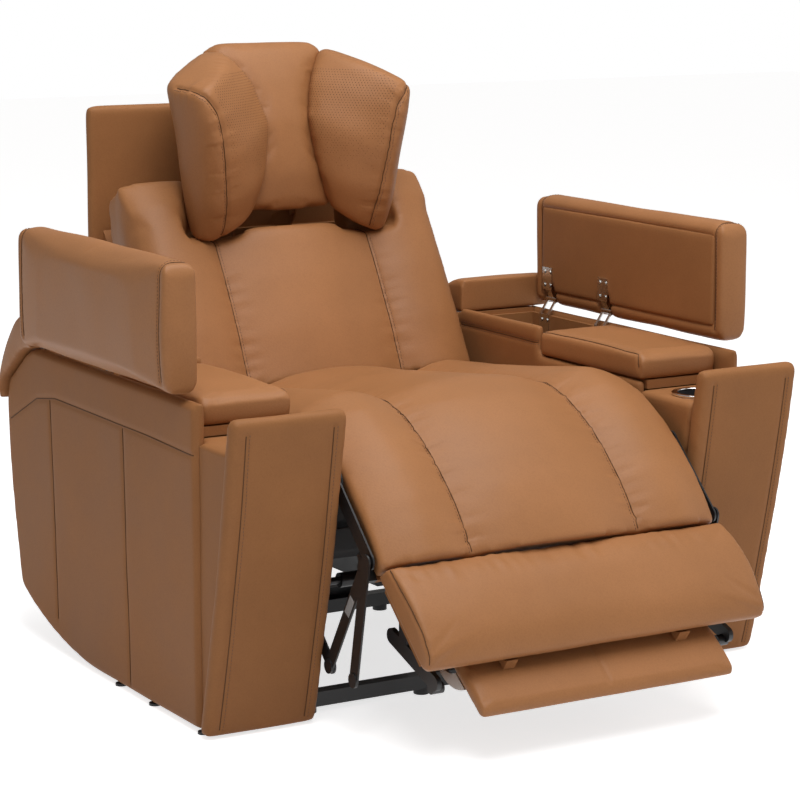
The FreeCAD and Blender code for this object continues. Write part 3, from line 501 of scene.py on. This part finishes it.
def curveFrom(name, lines):
    curve = bpy.data.curves.new(name, "CURVE")
    curve.dimensions = "3D"
    for line in lines:
        spline = curve.splines.new("POLY")
        spline.points.add(len(line) - 1)
        spline.points.foreach_set("co", [c for p in line for c in (*p, 1.0)])
    made = bpy.data.objects.new(name, curve)
    bpy.context.scene.collection.objects.link(made)
    return made


def newTree(name, inputs):
    tree = bpy.data.node_groups.new(name, "GeometryNodeTree")
    tree.interface.new_socket("Geometry", in_out="INPUT", socket_type="NodeSocketGeometry")
    sockets = {}
    for label, kind, value in inputs:
        socket = tree.interface.new_socket(label, in_out="INPUT", socket_type=kind)
        if value is not None:
            socket.default_value = value
        sockets[label] = socket.identifier
    tree.interface.new_socket("Geometry", in_out="OUTPUT", socket_type="NodeSocketGeometry")
    return tree, tree.nodes.new("NodeGroupInput"), tree.nodes.new("NodeGroupOutput"), sockets


def closeTree(tree, inn, out, made):
    real = addNode(tree, "GeometryNodeRealizeInstances", {"Geometry": made})
    dressed = addNode(tree, "GeometryNodeSetMaterial",
                      {"Geometry": real.outputs[0], "Material": inn.outputs["Material"]})
    tree.links.new(dressed.outputs[0], out.inputs[0])


def makeStitchTree():
    # Short thread lengths, end to end along each line
    tree, inn, out, sockets = newTree("stitchRun", [
        ("Spacing", "NodeSocketFloat", 0.0055), ("Length", "NodeSocketFloat", 0.0038),
        ("Thickness", "NodeSocketFloat", 0.0011), ("Material", "NodeSocketMaterial", None)])
    even = addNode(tree, "GeometryNodeResampleCurve",
                   {"Curve": inn.outputs["Geometry"], "Length": inn.outputs["Spacing"]},
                   mode="LENGTH")
    spots = addNode(tree, "GeometryNodeCurveToPoints", {"Curve": even.outputs[0]}, mode="EVALUATED")
    bead = addNode(tree, "GeometryNodeMeshUVSphere", {"Segments": 6, "Rings": 4, "Radius": 0.5})
    size = addNode(tree, "ShaderNodeCombineXYZ",
                   {"X": inn.outputs["Thickness"], "Y": inn.outputs["Thickness"],
                                                  "Z": inn.outputs["Length"]})
    placed = addNode(tree, "GeometryNodeInstanceOnPoints",
                     {"Points": spots.outputs["Points"], "Instance": bead.outputs["Mesh"],
                                                           "Rotation": spots.outputs["Rotation"],
                                                           "Scale": size.outputs[0]})
    closeTree(tree, inn, out, placed.outputs[0])
    return tree, sockets


def makePipeTree():
    # A round cord along each line
    tree, inn, out, sockets = newTree("cordRun", [
        ("Radius", "NodeSocketFloat", 0.001), ("Step", "NodeSocketFloat", 0.006), ("Sides",
                                                                                   "NodeSocketInt", 6),
        ("Material", "NodeSocketMaterial", None)])
    even = addNode(tree, "GeometryNodeResampleCurve",
                   {"Curve": inn.outputs["Geometry"], "Length": inn.outputs["Step"]},
                   mode="LENGTH")
    ring = addNode(tree, "GeometryNodeCurvePrimitiveCircle",
                   {"Resolution": inn.outputs["Sides"], "Radius": inn.outputs["Radius"]})
    tube = addNode(tree, "GeometryNodeCurveToMesh",
                   {"Curve": even.outputs[0], "Profile Curve": ring.outputs[0], "Fill Caps": True})
    smooth = addNode(tree, "GeometryNodeSetShadeSmooth", {"Geometry": tube.outputs[0]})
    closeTree(tree, inn, out, smooth.outputs[0])
    return tree, sockets


def makeHoleTree():
    # A small dark disc on every point, turned to the leather's surface: painted shade inside a punched hole
    tree, inn, out, sockets = newTree("punchedField",
                                      [("Radius", "NodeSocketFloat", 0.0009),
                                       ("Material", "NodeSocketMaterial", None)])
    outward = addNode(tree, "GeometryNodeInputNamedAttribute", data_type="FLOAT_VECTOR")
    outward.inputs["Name"].default_value = "outward"
    width = addNode(tree, "GeometryNodeInputNamedAttribute", data_type="FLOAT")
    width.inputs["Name"].default_value = "width"
    aim = addNode(tree, "FunctionNodeAlignRotationToVector", {"Vector": outward.outputs["Attribute"]},
                  axis="Z")
    disc = addNode(tree, "GeometryNodeMeshCircle", {"Vertices": 6, "Radius": inn.outputs["Radius"]},
                   fill_type="NGON")
    placed = addNode(tree, "GeometryNodeInstanceOnPoints",
                     {"Points": inn.outputs["Geometry"], "Instance": disc.outputs["Mesh"],
                                                           "Rotation": aim.outputs["Rotation"],
                                                           "Scale": width.outputs["Attribute"]})
    closeTree(tree, inn, out, placed.outputs[0])
    return tree, sockets


stitchTree, stitchSockets = makeStitchTree()
pipeTree, pipeSockets = makePipeTree()
holeTree, holeSockets = makeHoleTree()


def runTree(name, source, tree, sockets, values, body):
    follow = source.modifiers.new("run", "NODES")
    follow.node_group = tree
    for label, value in values.items():
        follow[sockets[label]] = value
    bpy.context.view_layer.update()
    graph = bpy.context.evaluated_depsgraph_get()
    mesh = bpy.data.meshes.new_from_object(source.evaluated_get(graph), depsgraph=graph)
    made = meshObject(name, mesh)
    bpy.data.objects.remove(source)
    carry(made, body)
    return made


# Camera, lights and floor

shot = {"place": (-2.24512, -3.7947, 1.23965), "yaw": 30.43, "pitch": -10.24, "focal": 2639.31}


def makeCamera():
    data = bpy.data.cameras.new("camera")
    data.sensor_width = 36.0
    data.lens = shot["focal"] / 800 * 36.0
    data.clip_end = 60.0
    camera = bpy.data.objects.new("camera", data)
    camera.location = shot["place"]
    yaw, pitch = math.radians(shot["yaw"]), math.radians(shot["pitch"])
    ahead = Vector((math.sin(yaw) * math.cos(pitch), math.cos(yaw) * math.cos(pitch), math.sin(pitch)))
    camera.rotation_euler = ahead.to_track_quat("-Z", "Y").to_euler()
    bpy.context.scene.collection.objects.link(camera)
    bpy.context.scene.camera = camera


lamps = {
    "keyLamp": {"at": (-1.0, -2.2, 3.8), "to": (0, 0, 0.4), "size": 2.0, "watts": 62},
    "topLamp": {"at": (0.2, -0.4, 3.6), "to": (0, 0, 0.3), "size": 2.6, "watts": 72},
    "sideLamp": {"at": (3.4, -1.6, 2.0), "to": (0, 0, 0.4), "size": 2.0, "watts": 14},
}


def makeLights():
    for name, lamp in lamps.items():
        data = bpy.data.lights.new(name, "AREA")
        data.shape = "DISK"
        data.size = lamp["size"]
        data.energy = lamp["watts"]
        made = bpy.data.objects.new(name, data)
        made.location = lamp["at"]
        made.rotation_euler = (Vector(lamp["to"]) - Vector(lamp["at"])).to_track_quat("-Z", "Y").to_euler()
        bpy.context.scene.collection.objects.link(made)
    world = bpy.data.worlds.new("studio")
    bpy.context.scene.world = world
    world.use_nodes = True
    tree = world.node_tree
    tree.nodes.clear()
    out = tree.nodes.new("ShaderNodeOutputWorld")
    room = addNode(tree, "ShaderNodeBackground", {"Color": (1.0, 0.98, 0.96, 1), "Strength": 0.30})
    paper = addNode(tree, "ShaderNodeBackground", {"Color": (1, 1, 1, 1), "Strength": 1.0})
    rays = addNode(tree, "ShaderNodeLightPath")
    seen = addNode(tree, "ShaderNodeMath",
                   {0: rays.outputs["Is Camera Ray"], 1: rays.outputs["Is Transmission Ray"]},
                   operation="MAXIMUM")
    mix = addNode(tree, "ShaderNodeMixShader", {0: seen.outputs[0]})
    tree.links.new(room.outputs[0], mix.inputs[1])
    tree.links.new(paper.outputs[0], mix.inputs[2])
    tree.links.new(mix.outputs[0], out.inputs[0])


def makeFloor():
    mesh = bpy.data.meshes.new("floor")
    mesh.from_pydata([(-14, -14, 0), (14, -14, 0), (14, 14, 0), (-14, 14, 0)], [], [(0, 1, 2, 3)])
    floor = meshObject("floor", mesh)
    material, tree, shader = newMaterial("paleFloor")
    shader.inputs["Base Color"].default_value = (0.86, 0.86, 0.87, 1)
    shader.inputs["Roughness"].default_value = 0.6
    shader.inputs["Specular IOR Level"].default_value = 0.2
    glow = addNode(tree, "ShaderNodeEmission", {"Color": (1, 1, 1, 1), "Strength": 0.72})
    rays = addNode(tree, "ShaderNodeLightPath")
    weight = addNode(tree, "ShaderNodeMath",
                     {0: rays.outputs["Is Camera Ray"], 1: rays.outputs["Is Glossy Ray"]},
                     operation="MAXIMUM")
    weak = addNode(tree, "ShaderNodeMixShader", {0: weight.outputs[0]})
    total = tree.nodes.new("ShaderNodeAddShader")
    tree.links.new(glow.outputs[0], weak.inputs[2])
    tree.links.new(shader.outputs[0], total.inputs[0])
    tree.links.new(weak.outputs[0], total.inputs[1])
    out = [n for n in tree.nodes if n.type == "OUTPUT_MATERIAL"][0]
    tree.links.new(total.outputs[0], out.inputs[0])
    mesh.materials.append(material)


makeCamera()
makeLights()
makeFloor()
print("camera, lights and floor")


# Seat, leg pad, roll and flap

seatSizes = {"voxel": 0.007, "seamX": 0.155, "pressure": 4.5, "cap": 0.024, "half": 0.3150, "crown": 0.012,
             "crownReach": 0.055, "seamHold": 0.011, "stitchGap": 0.0060, "channelDepth": 0.0022,
             "channelWidth": 0.005, "pucker": 0.0018,
             "bendStart": (0, -0.215, 0.495), "bendEnd": (0, -0.330, 0.440)}
seatLine = [(0.262, 0.452), (0.120, 0.466), (0.020, 0.478), (-0.090, 0.492), (-0.190, 0.502),
            (-0.250, 0.488),
            (-0.286, 0.470), (-0.324, 0.448), (-0.368, 0.414), (-0.410, 0.376), (-0.443, 0.337), (-0.470,
                                                                                                  0.297)]
rollSizes = {"voxel": 0.006, "pressure": 4.0, "cap": 0.018, "half": 0.3165}
flapSizes = {"voxel": 0.005, "pressure": 3.0, "cap": 0.0015}


def seatEdges():
    # The pad's two side edges, which stay low
    return [[(s * 0.315, y, z - 0.012) for y, z in seatLine] for s in (left, right)]


def makeSeat():
    piece = softCopy("seatAndLegPad", ["seat_cushion", "chaise_pad"], seatSizes["voxel"], smooth=5,
                     shrink=0.002)
    seams = [[(s * seatSizes["seamX"], y, z - 0.010) for y, z in seatLine] for s in (left, right)]
    plump(piece, seams + seatEdges(), seatSizes["crown"], seatSizes["crownReach"], (0, -0.5, 0.86))
    place = points(piece)
    away = lineDistance(piece, seams)
    out = vertexNormals(piece)
    held = np.exp(-(away / seatSizes["seamHold"]) ** 2)
    under = (out[:, 2] < -0.2) | ((out[:, 1] > 0.5) & (place[:, 2] < 0.44))
    held = np.maximum(held, under * 1.0)
    held = np.maximum(held, np.clip((np.abs(place[:, 0]) - 0.309) / 0.004, 0, 1) * 0.6)
    puff(piece, held, seatSizes["pressure"], seatSizes["cap"])
    finer(piece)
    keepWithin(piece, seatSizes["half"])
    ripple(piece, 0.0016, 9.0, 3.0)
    # Raised, so that each point finds the top surface
    lines = [[(x, y, z + 0.012) for x, y, z in line] for line in seams]
    onTop = sewnSeams(piece, "seatBend", lines, stitch=(seatSizes["stitchGap"],),
                      depth=seatSizes["channelDepth"],
                      width=seatSizes["channelWidth"])
    pucker(piece, onTop, seatSizes["pucker"], 0.035, 70.0, 2.0)
    finishSoft(piece, "seatBend", ["seat_cushion", "chaise_pad"], "cover")


def makeRoll():
    piece = softCopy("rollPad", ["roll_pad"], rollSizes["voxel"], smooth=4, shrink=0.002)
    place = points(piece)
    out = vertexNormals(piece)
    held = ((out[:, 2] < -0.35) | (out[:, 1] > 0.4)) * 1.0
    edge = np.clip((np.abs(place[:, 0]) - 0.306) / 0.006, 0, 1) * 0.7
    puff(piece, np.maximum(held, edge), rollSizes["pressure"], rollSizes["cap"])
    finer(piece)
    keepWithin(piece, rollSizes["half"])
    ripple(piece, 0.0016, 10.0, 7.0)
    ends = []
    for side in (left, right):
        x = side * 0.3150
        ends.append([(x, -0.470, 0.290), (x, -0.500, 0.266), (x, -0.535, 0.240), (x, -0.572, 0.209),
                     (x, -0.590, 0.186),
                     (x, -0.588, 0.164)])
    sewnSeams(piece, "footrest", ends, depth=0.002, width=0.004)
    top = [(-0.300, -0.478, 0.292), (-0.2, -0.482, 0.294), (0.2, -0.482, 0.294), (0.300, -0.478, 0.292)]
    pucker(piece, [top], 0.0022, 0.04, 55.0, 5.0)
    finishSoft(piece, "footrest", ["roll_pad"], "cover")


def makeFlap():
    piece = softCopy("lowerFlap", ["flap_pad"], flapSizes["voxel"], smooth=4, shrink=0.0015)
    out = vertexNormals(piece)
    puff(piece, (out[:, 2] < -0.1) * 1.0, flapSizes["pressure"], flapSizes["cap"])
    finer(piece)
    ripple(piece, 0.0004, 12.0, 11.0)
    middle = [(0, -0.540, 0.168), (0, -0.575, 0.140), (0, -0.616, 0.106)]
    sewnSeams(piece, "flap", [middle], depth=0.0018, width=0.004, shadeCord=False)
    finishSoft(piece, "flap", ["flap_pad"], "cover")


makeSeat()
makeRoll()
makeFlap()
print("seat and footrest pads")


# Back cushion and headrest

backSizes = {"voxel": 0.007, "seamX": 0.155, "pressure": 4.5, "cap": 0.022, "half": 0.316, "crown": 0.010,
             "crownReach": 0.055, "seamHold": 0.011, "stitchGap": 0.0060, "channelDepth": 0.0022,
             "channelWidth": 0.005, "pucker": 0.0018, "aim": (0, 0.876, -0.483), "face": (0, -0.876, 0.483)}
backLine = [(0.281, 0.434), (0.328, 0.520), (0.376, 0.607), (0.417, 0.681), (0.425, 0.695)]
headSizes = {"voxel": 0.005, "round": 55, "grow": 0.0055, "pressure": 4.0, "cap": 0.013, "crown": 0.008}
wingSeam = []      # filled from the left wing, and mirrored for the right one
wingView = ((167, 88), (188, 89.5), (205, 97), (217, 111), (223, 133), (226, 163), (227.5, 213),
            (226, 226), (222, 236))
# Pitch, reach and place of the wings' punched holes, on the right wing
holes = {"pitch": 0.0052, "radius": 0.00085, "low": 0.800, "high": 0.985, "crease": (0.098, 0.500),
         "front": (0.184, 0.352)}


def makeBack():
    names = ["back_centre", "back_bolster_left", "back_bolster_right"]
    piece = softCopy("backCushion", names, backSizes["voxel"], smooth=5, shrink=0.002)
    seams = [[(s * backSizes["seamX"], y + 0.004, z) for y, z in backLine] for s in (left, right)]
    edges = [[(s * 0.306, y + 0.03, z) for y, z in backLine] for s in (left, right)]
    plump(piece, seams + edges, backSizes["crown"], backSizes["crownReach"], backSizes["face"])
    out = vertexNormals(piece)
    away = lineDistance(piece, seams)
    held = np.exp(-(away / backSizes["seamHold"]) ** 2)
    held = np.maximum(held, ((out[:, 1] > 0.25) | (out[:, 2] < -0.5)) * 1.0)
    puff(piece, held, backSizes["pressure"], backSizes["cap"])
    finer(piece)
    keepWithin(piece, backSizes["half"])
    ripple(piece, 0.0018, 8.0, 21.0)
    onTop = sewnSeams(piece, "back", seams, backSizes["aim"], stitch=(backSizes["stitchGap"],),
                      depth=backSizes["channelDepth"], width=backSizes["channelWidth"])
    pucker(piece, onTop, backSizes["pucker"], 0.035, 70.0, 3.0)
    finishSoft(piece, "back", names, "cover")


def punchHoles(piece, side, seam):
    # Rows of small holes over the wing's face, thinning out downwards, drawn as dark discs of painted shade
    tree = surfaceTree(piece)
    edge = nearLines([seam])
    pick = np.random.default_rng(5)
    d = Vector((side * 0.80, 0.60, -0.05)).normalized()
    crease = Vector((side * holes["crease"][0], holes["crease"][1], 0))
    front = Vector((side * holes["front"][0], holes["front"][1], 0))
    columns = int((front - crease).length / holes["pitch"])
    rows = int((holes["high"] - holes["low"]) / (holes["pitch"] * 0.87))
    spots, outward, width = [], [], []
    for row in range(rows):
        z = holes["low"] + row * holes["pitch"] * 0.87
        rise = (z - holes["low"]) / (holes["high"] - holes["low"])
        for column in range(columns):
            along = (column + 0.5 * (row % 2)) / columns
            spot = crease.lerp(front, along) + Vector((0, 0, z))
            chance = pick.random()
            hit, normal, face, gap = tree.ray_cast(spot - d * 0.12, d, 0.24)
            if hit is None or normal.dot(-d) < 0.5 or edge.find(hit)[2] < 0.013 or chance > 0.25 + 1.6 * rise:
                continue
            spots.append(hit + normal * 0.00025)
            outward.append(normal)
            width.append(0.55 + 0.45 * min(1.0, rise * 1.6))
    if not spots:
        return
    mesh = bpy.data.meshes.new("holeSpots")
    mesh.from_pydata(spots, [], [])
    for name, kind, key, values in (("outward", "FLOAT_VECTOR", "vector", outward),
                                    ("width", "FLOAT", "value", width)):
        mesh.attributes.new(name, kind, "POINT").data.foreach_set(key, np.array(values).ravel())
    runTree("wingHoles" + ("Right" if side > 0 else "Left"), meshObject("holeSpots", mesh), holeTree,
            holeSockets,
            {"Radius": holes["radius"], "Material": finishes["holeShade"]}, "headrest")


def seen(tree, spot):
    # Where the camera sees a point of the 800 x 800 frame on a surface
    camera = bpy.context.scene.camera
    way = camera.rotation_euler.to_matrix() @ Vector(((spot[0] - 400) / shot["focal"],
                                                      (400 - spot[1]) / shot["focal"], -1))
    return tree.ray_cast(camera.location, way.normalized(), 10)[0]


def makeWing(side):
    name = "headrest_wing_right" if side > 0 else "headrest_wing_left"
    piece = softCopy("headWing" + ("Right" if side > 0 else "Left"), [name], headSizes["voxel"],
                     smooth=headSizes["round"],
                     shrink=-headSizes["grow"])
    if not wingSeam:
        tree = surfaceTree(piece)
        wingSeam.extend(p for p in (seen(tree, spot) for spot in wingView) if p is not None)
        wingSeam.insert(0, wingSeam[0] + Vector((-0.006, 0.035, 0.002)))
    seam = [(-side * x, y, z) for x, y, z in wingSeam]
    plump(piece, [seam], headSizes["crown"], 0.045, (-side * 0.3, -0.9, 0.2), soft=0.8)
    away = lineDistance(piece, [seam])
    out = vertexNormals(piece)
    held = np.exp(-(away / 0.008) ** 2) * 0.8
    held = np.maximum(held, (out[:, 1] > 0.55) * 1.0)
    puff(piece, held, headSizes["pressure"], headSizes["cap"])
    finer(piece)
    ripple(piece, 0.0016, 13.0, 31.0 * side)
    line = sewnSeams(piece, "headrest", [seam], stitch=(0.006 * -side,), depth=0.0035, width=0.005)
    pucker(piece, line, 0.0016, 0.03, 80.0, side * 4.0)
    punchHoles(piece, side, line[0])
    finishSoft(piece, "headrest", [name], "cover")


def makeHeadCentre():
    piece = softCopy("headCentre", ["headrest_centre"], headSizes["voxel"], smooth=22, shrink=-0.0045)
    setPoints(piece, points(piece) + np.array((0, 0.008, 0)))
    out = vertexNormals(piece)
    puff(piece, (out[:, 1] > 0.4) * 1.0, 3.0, 0.010)
    finer(piece)
    ripple(piece, 0.0012, 11.0, 41.0)
    finishSoft(piece, "headrest", ["headrest_centre"], "cover")


makeBack()
makeWing(left)
makeWing(right)
makeHeadCentre()
print("back and headrest")


# Arms, lids and back shell

armSizes = {"outer": 0.520, "inner": 0.332, "boardOuter": 0.528}
lidSizes = {"rear": 0.368, "front": -0.212, "top": 0.736, "foot": 0.529, "corner": 0.030,
            "footCorner": 0.018}


def board(name, source, body, finish="panel", voxel=0.008, smooth=3, swell=0.0012, seams=(),
          stitches=(), aim=None,
          fine=True):
    # A padded board: even mesh, softened edges, slow ripple and its sewn lines; by default in the panel
    # leather, darkened as painted shade
    piece = softCopy(name, [source], voxel, smooth=smooth)
    if fine:
        finer(piece)
    ripple(piece, swell, 7.0, len(source) * 1.7)
    if seams:
        sewnSeams(piece, body, seams, aim, stitches, depth=0.002, width=0.005)
    finishSoft(piece, body, [source], finish)
    return piece


def sideName(base, side):
    return base + ("_right" if side > 0 else "_left")


def makeArm(side):
    tag = "Right" if side > 0 else "Left"
    x = side * armSizes["outer"]
    outerSeams = [[(x, -0.232, 0.440), (x, -0.05, 0.444), (x, 0.30, 0.446), (x, 0.381, 0.434),
                   (x, 0.50, 0.380)],
                  [(x, 0.012, 0.016), (x, 0.020, 0.25), (x, 0.026, 0.440)],
                  [(x, 0.306, 0.060), (x, 0.314, 0.25), (x, 0.322, 0.440)]]
    board("sidePanel" + tag, sideName("side_panel", side), "base", seams=outerSeams, aim=(-side, 0, 0))
    wall = side * armSizes["inner"]
    board("innerPanel" + tag, sideName("inner_panel", side), "base", smooth=2,
          seams=[[(wall, 0.110, 0.500), (wall, 0.24, 0.501), (wall, 0.368, 0.501)]],
          stitches=(0.004, -0.004), aim=(side, 0, 0))
    front = []
    for edge in (armSizes["inner"] + 0.024, armSizes["boardOuter"] - 0.024):
        bx = side * edge
        front.append([(bx, -0.28, 0.016), (bx, -0.308, 0.12), (bx, -0.340, 0.25), (bx, -0.365, 0.38),
                      (bx, -0.387, 0.494)])
    board("frontBoard" + tag, sideName("front_board", side), "base", voxel=0.006, smooth=7, swell=0.0015,
          seams=front, stitches=(0.006,), aim=(0, 1, 0))
    board("armWedge" + tag, sideName("arm_wedge", side), "base", smooth=1, fine=False)
    deck = softCopy("deckPad" + tag, [sideName("deck_pad", side)], 0.006, smooth=10, shrink=0.001)
    out = vertexNormals(deck)
    puff(deck, (out[:, 2] < 0.2) * 1.0, 3.0, 0.0015)
    finer(deck)
    ripple(deck, 0.0006, 12.0, 51.0 + side)
    inner = side * 0.3385
    sewnSeams(deck, "base", [[(inner, -0.200, 0.50), (inner, -0.194, 0.523), (inner, -0.05, 0.527),
                              (inner, 0.100, 0.526)]],
              depth=0.0015, width=0.004)
    finishSoft(deck, "base", [sideName("deck_pad", side)], "cover")
    rear = softCopy("rearBlock" + tag, [sideName("rear_block", side)], 0.006, smooth=10, shrink=0.001)
    out = vertexNormals(rear)
    puff(rear, ((out[:, 1] < -0.5) | (out[:, 2] < -0.3)) * 1.0, 3.5, 0.004)
    finer(rear)
    ripple(rear, 0.0012, 10.0, 61.0 + side)
    finishSoft(rear, "base", [sideName("rear_block", side)], "cover")


def makeLid(side):
    tag = "Right" if side > 0 else "Left"
    body = "lid_right" if side > 0 else "lid_left"
    piece = softCopy("lidPad" + tag, [sideName("lid_pad", side)], 0.006, smooth=8, shrink=0.0005)
    loops = []
    for y, way in ((lidSizes["front"], 1), (lidSizes["rear"], -1)):
        across = y + way * 0.020
        loops.append([(side * 0.500, across, 0.55), (side * 0.500, across, 0.72),
                      (side * 0.515, across, 0.737),
                      (side * 0.540, across, 0.737), (side * 0.555, across, 0.72), (side * 0.555, across,
                                                                                    0.55)])
    held = np.clip((0.508 - np.abs(points(piece)[:, 0])) / 0.004, 0, 1)
    puff(piece, np.maximum(held, np.exp(-(lineDistance(piece, loops) / 0.009) ** 2)), 3.5, 0.007)
    finer(piece)
    for y, way in ((lidSizes["rear"], 1), (lidSizes["front"], -1)):
        roundCorner(piece, (y, lidSizes["top"]), lidSizes["corner"], (way, 1))
        roundCorner(piece, (y, lidSizes["foot"]), lidSizes["footCorner"], (way, -1))
    ripple(piece, 0.0018, 9.0, 71.0 + side)
    sewnSeams(piece, body, loops, stitch=(0.006,), depth=0.0025, width=0.005)
    finishSoft(piece, body, [sideName("lid_pad", side)], "cover")
    board("lidBoard" + tag, sideName("lid_board", side), body, voxel=0.006, smooth=2, swell=0.0006,
          fine=False)


for side in (left, right):
    makeArm(side)
    makeLid(side)
board("backShell", "back_shell", "back", voxel=0.010, smooth=8, swell=0.002)
print("arms, lids and shell")


# Frame, mechanism and fittings

hardFinishes = {
    "steel": ["floor_rails", "track_rails", "side_plates", "seat_rails", "footrest_arms", "lower_links",
              "upright_links",
              "back_brackets"],
    "bright": ["foot_rod", "back_rod", "flap_links"],
    "zinc": ["bin_hinges_left", "bin_hinges_right", "lid_hinges_left", "lid_hinges_right"],
    "chrome": ["cup_rings"],
    "plastic": ["cup_liners", "glides", "power_supply", "foot_motor", "back_motor", "control_panel"],
    "button": ["button_1", "button_2", "button_3", "button_4"],
    "wood": ["seat_deck"],
    # Frames, bins, bracket and footrest board take the panel leather, darkened as painted shade
    "panel": ["storage_bin_left", "storage_bin_right", "arm_frames", "back_frame", "headrest_bracket",
              "footrest_board"],
}
labelPlate = {"length": 0.034, "width": 0.015, "thick": 0.0005, "from": (-0.4279, 0.2908),
              "to": (-0.3129, 0.1008), "along": 0.42}


def dressHard():
    for finish, names in hardFinishes.items():
        for name in names:
            node = nodes[name]
            node.data.materials.clear()
            node.data.materials.append(finishes[finish])


def makeLabel():
    # Bare grey plate on the left upright link
    a = Vector((0, *labelPlate["from"]))
    b = Vector((0, *labelPlate["to"]))
    along = (b - a).normalized()
    across = Vector((1, 0, 0)).cross(along).normalized()
    middle = a.lerp(b, labelPlate["along"])
    hit, normal, face, gap = surfaceTree(nodes["upright_links"]).ray_cast(middle + Vector((-0.6, 0, 0)),
                                                                          Vector((1, 0, 0)), 1.0)
    if hit is None:
        return
    made = bmesh.new()
    bmesh.ops.create_cube(made, size=1.0)
    for vert in made.verts:
        x, y, z = vert.co
        vert.co = Vector((hit.x - labelPlate["thick"] / 2 + x * labelPlate["thick"], hit.y, hit.z)) \
            + along * (y * labelPlate["length"]) + across * (z * labelPlate["width"])
    bmesh.ops.recalc_face_normals(made, faces=made.faces)
    bmesh.ops.bevel(made, geom=made.edges[:], offset=0.00015, segments=1, affect="EDGES")
    mesh = bpy.data.meshes.new("labelPlate")
    made.to_mesh(mesh)
    made.free()
    plate = meshObject("labelPlate", mesh)
    mesh.materials.append(finishes["label"])
    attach(plate, "upright_links")


dressHard()
makeLabel()
print("hard pieces")


# Dark cords of painted seam shade, and threads, along the collected lines

def makeRuns():
    for body, lines in seamShadeLines.items():
        runTree("seamShadeCords_" + body, curveFrom("seamShadePath", lines), pipeTree, pipeSockets,
                {"Radius": threads["shadeCordRadius"], "Step": threads["shadeCordStep"], "Sides": 6,
                 "Material": finishes["seam"]}, body)
    for body, lines in stitchLines.items():
        runTree("stitches_" + body, curveFrom("stitchPath", lines), stitchTree, stitchSockets,
                {"Spacing": threads["spacing"], "Length": threads["length"],
                 "Thickness": threads["thickness"],
                 "Material": finishes["thread"]}, body)


makeRuns()
print("seams and stitches")
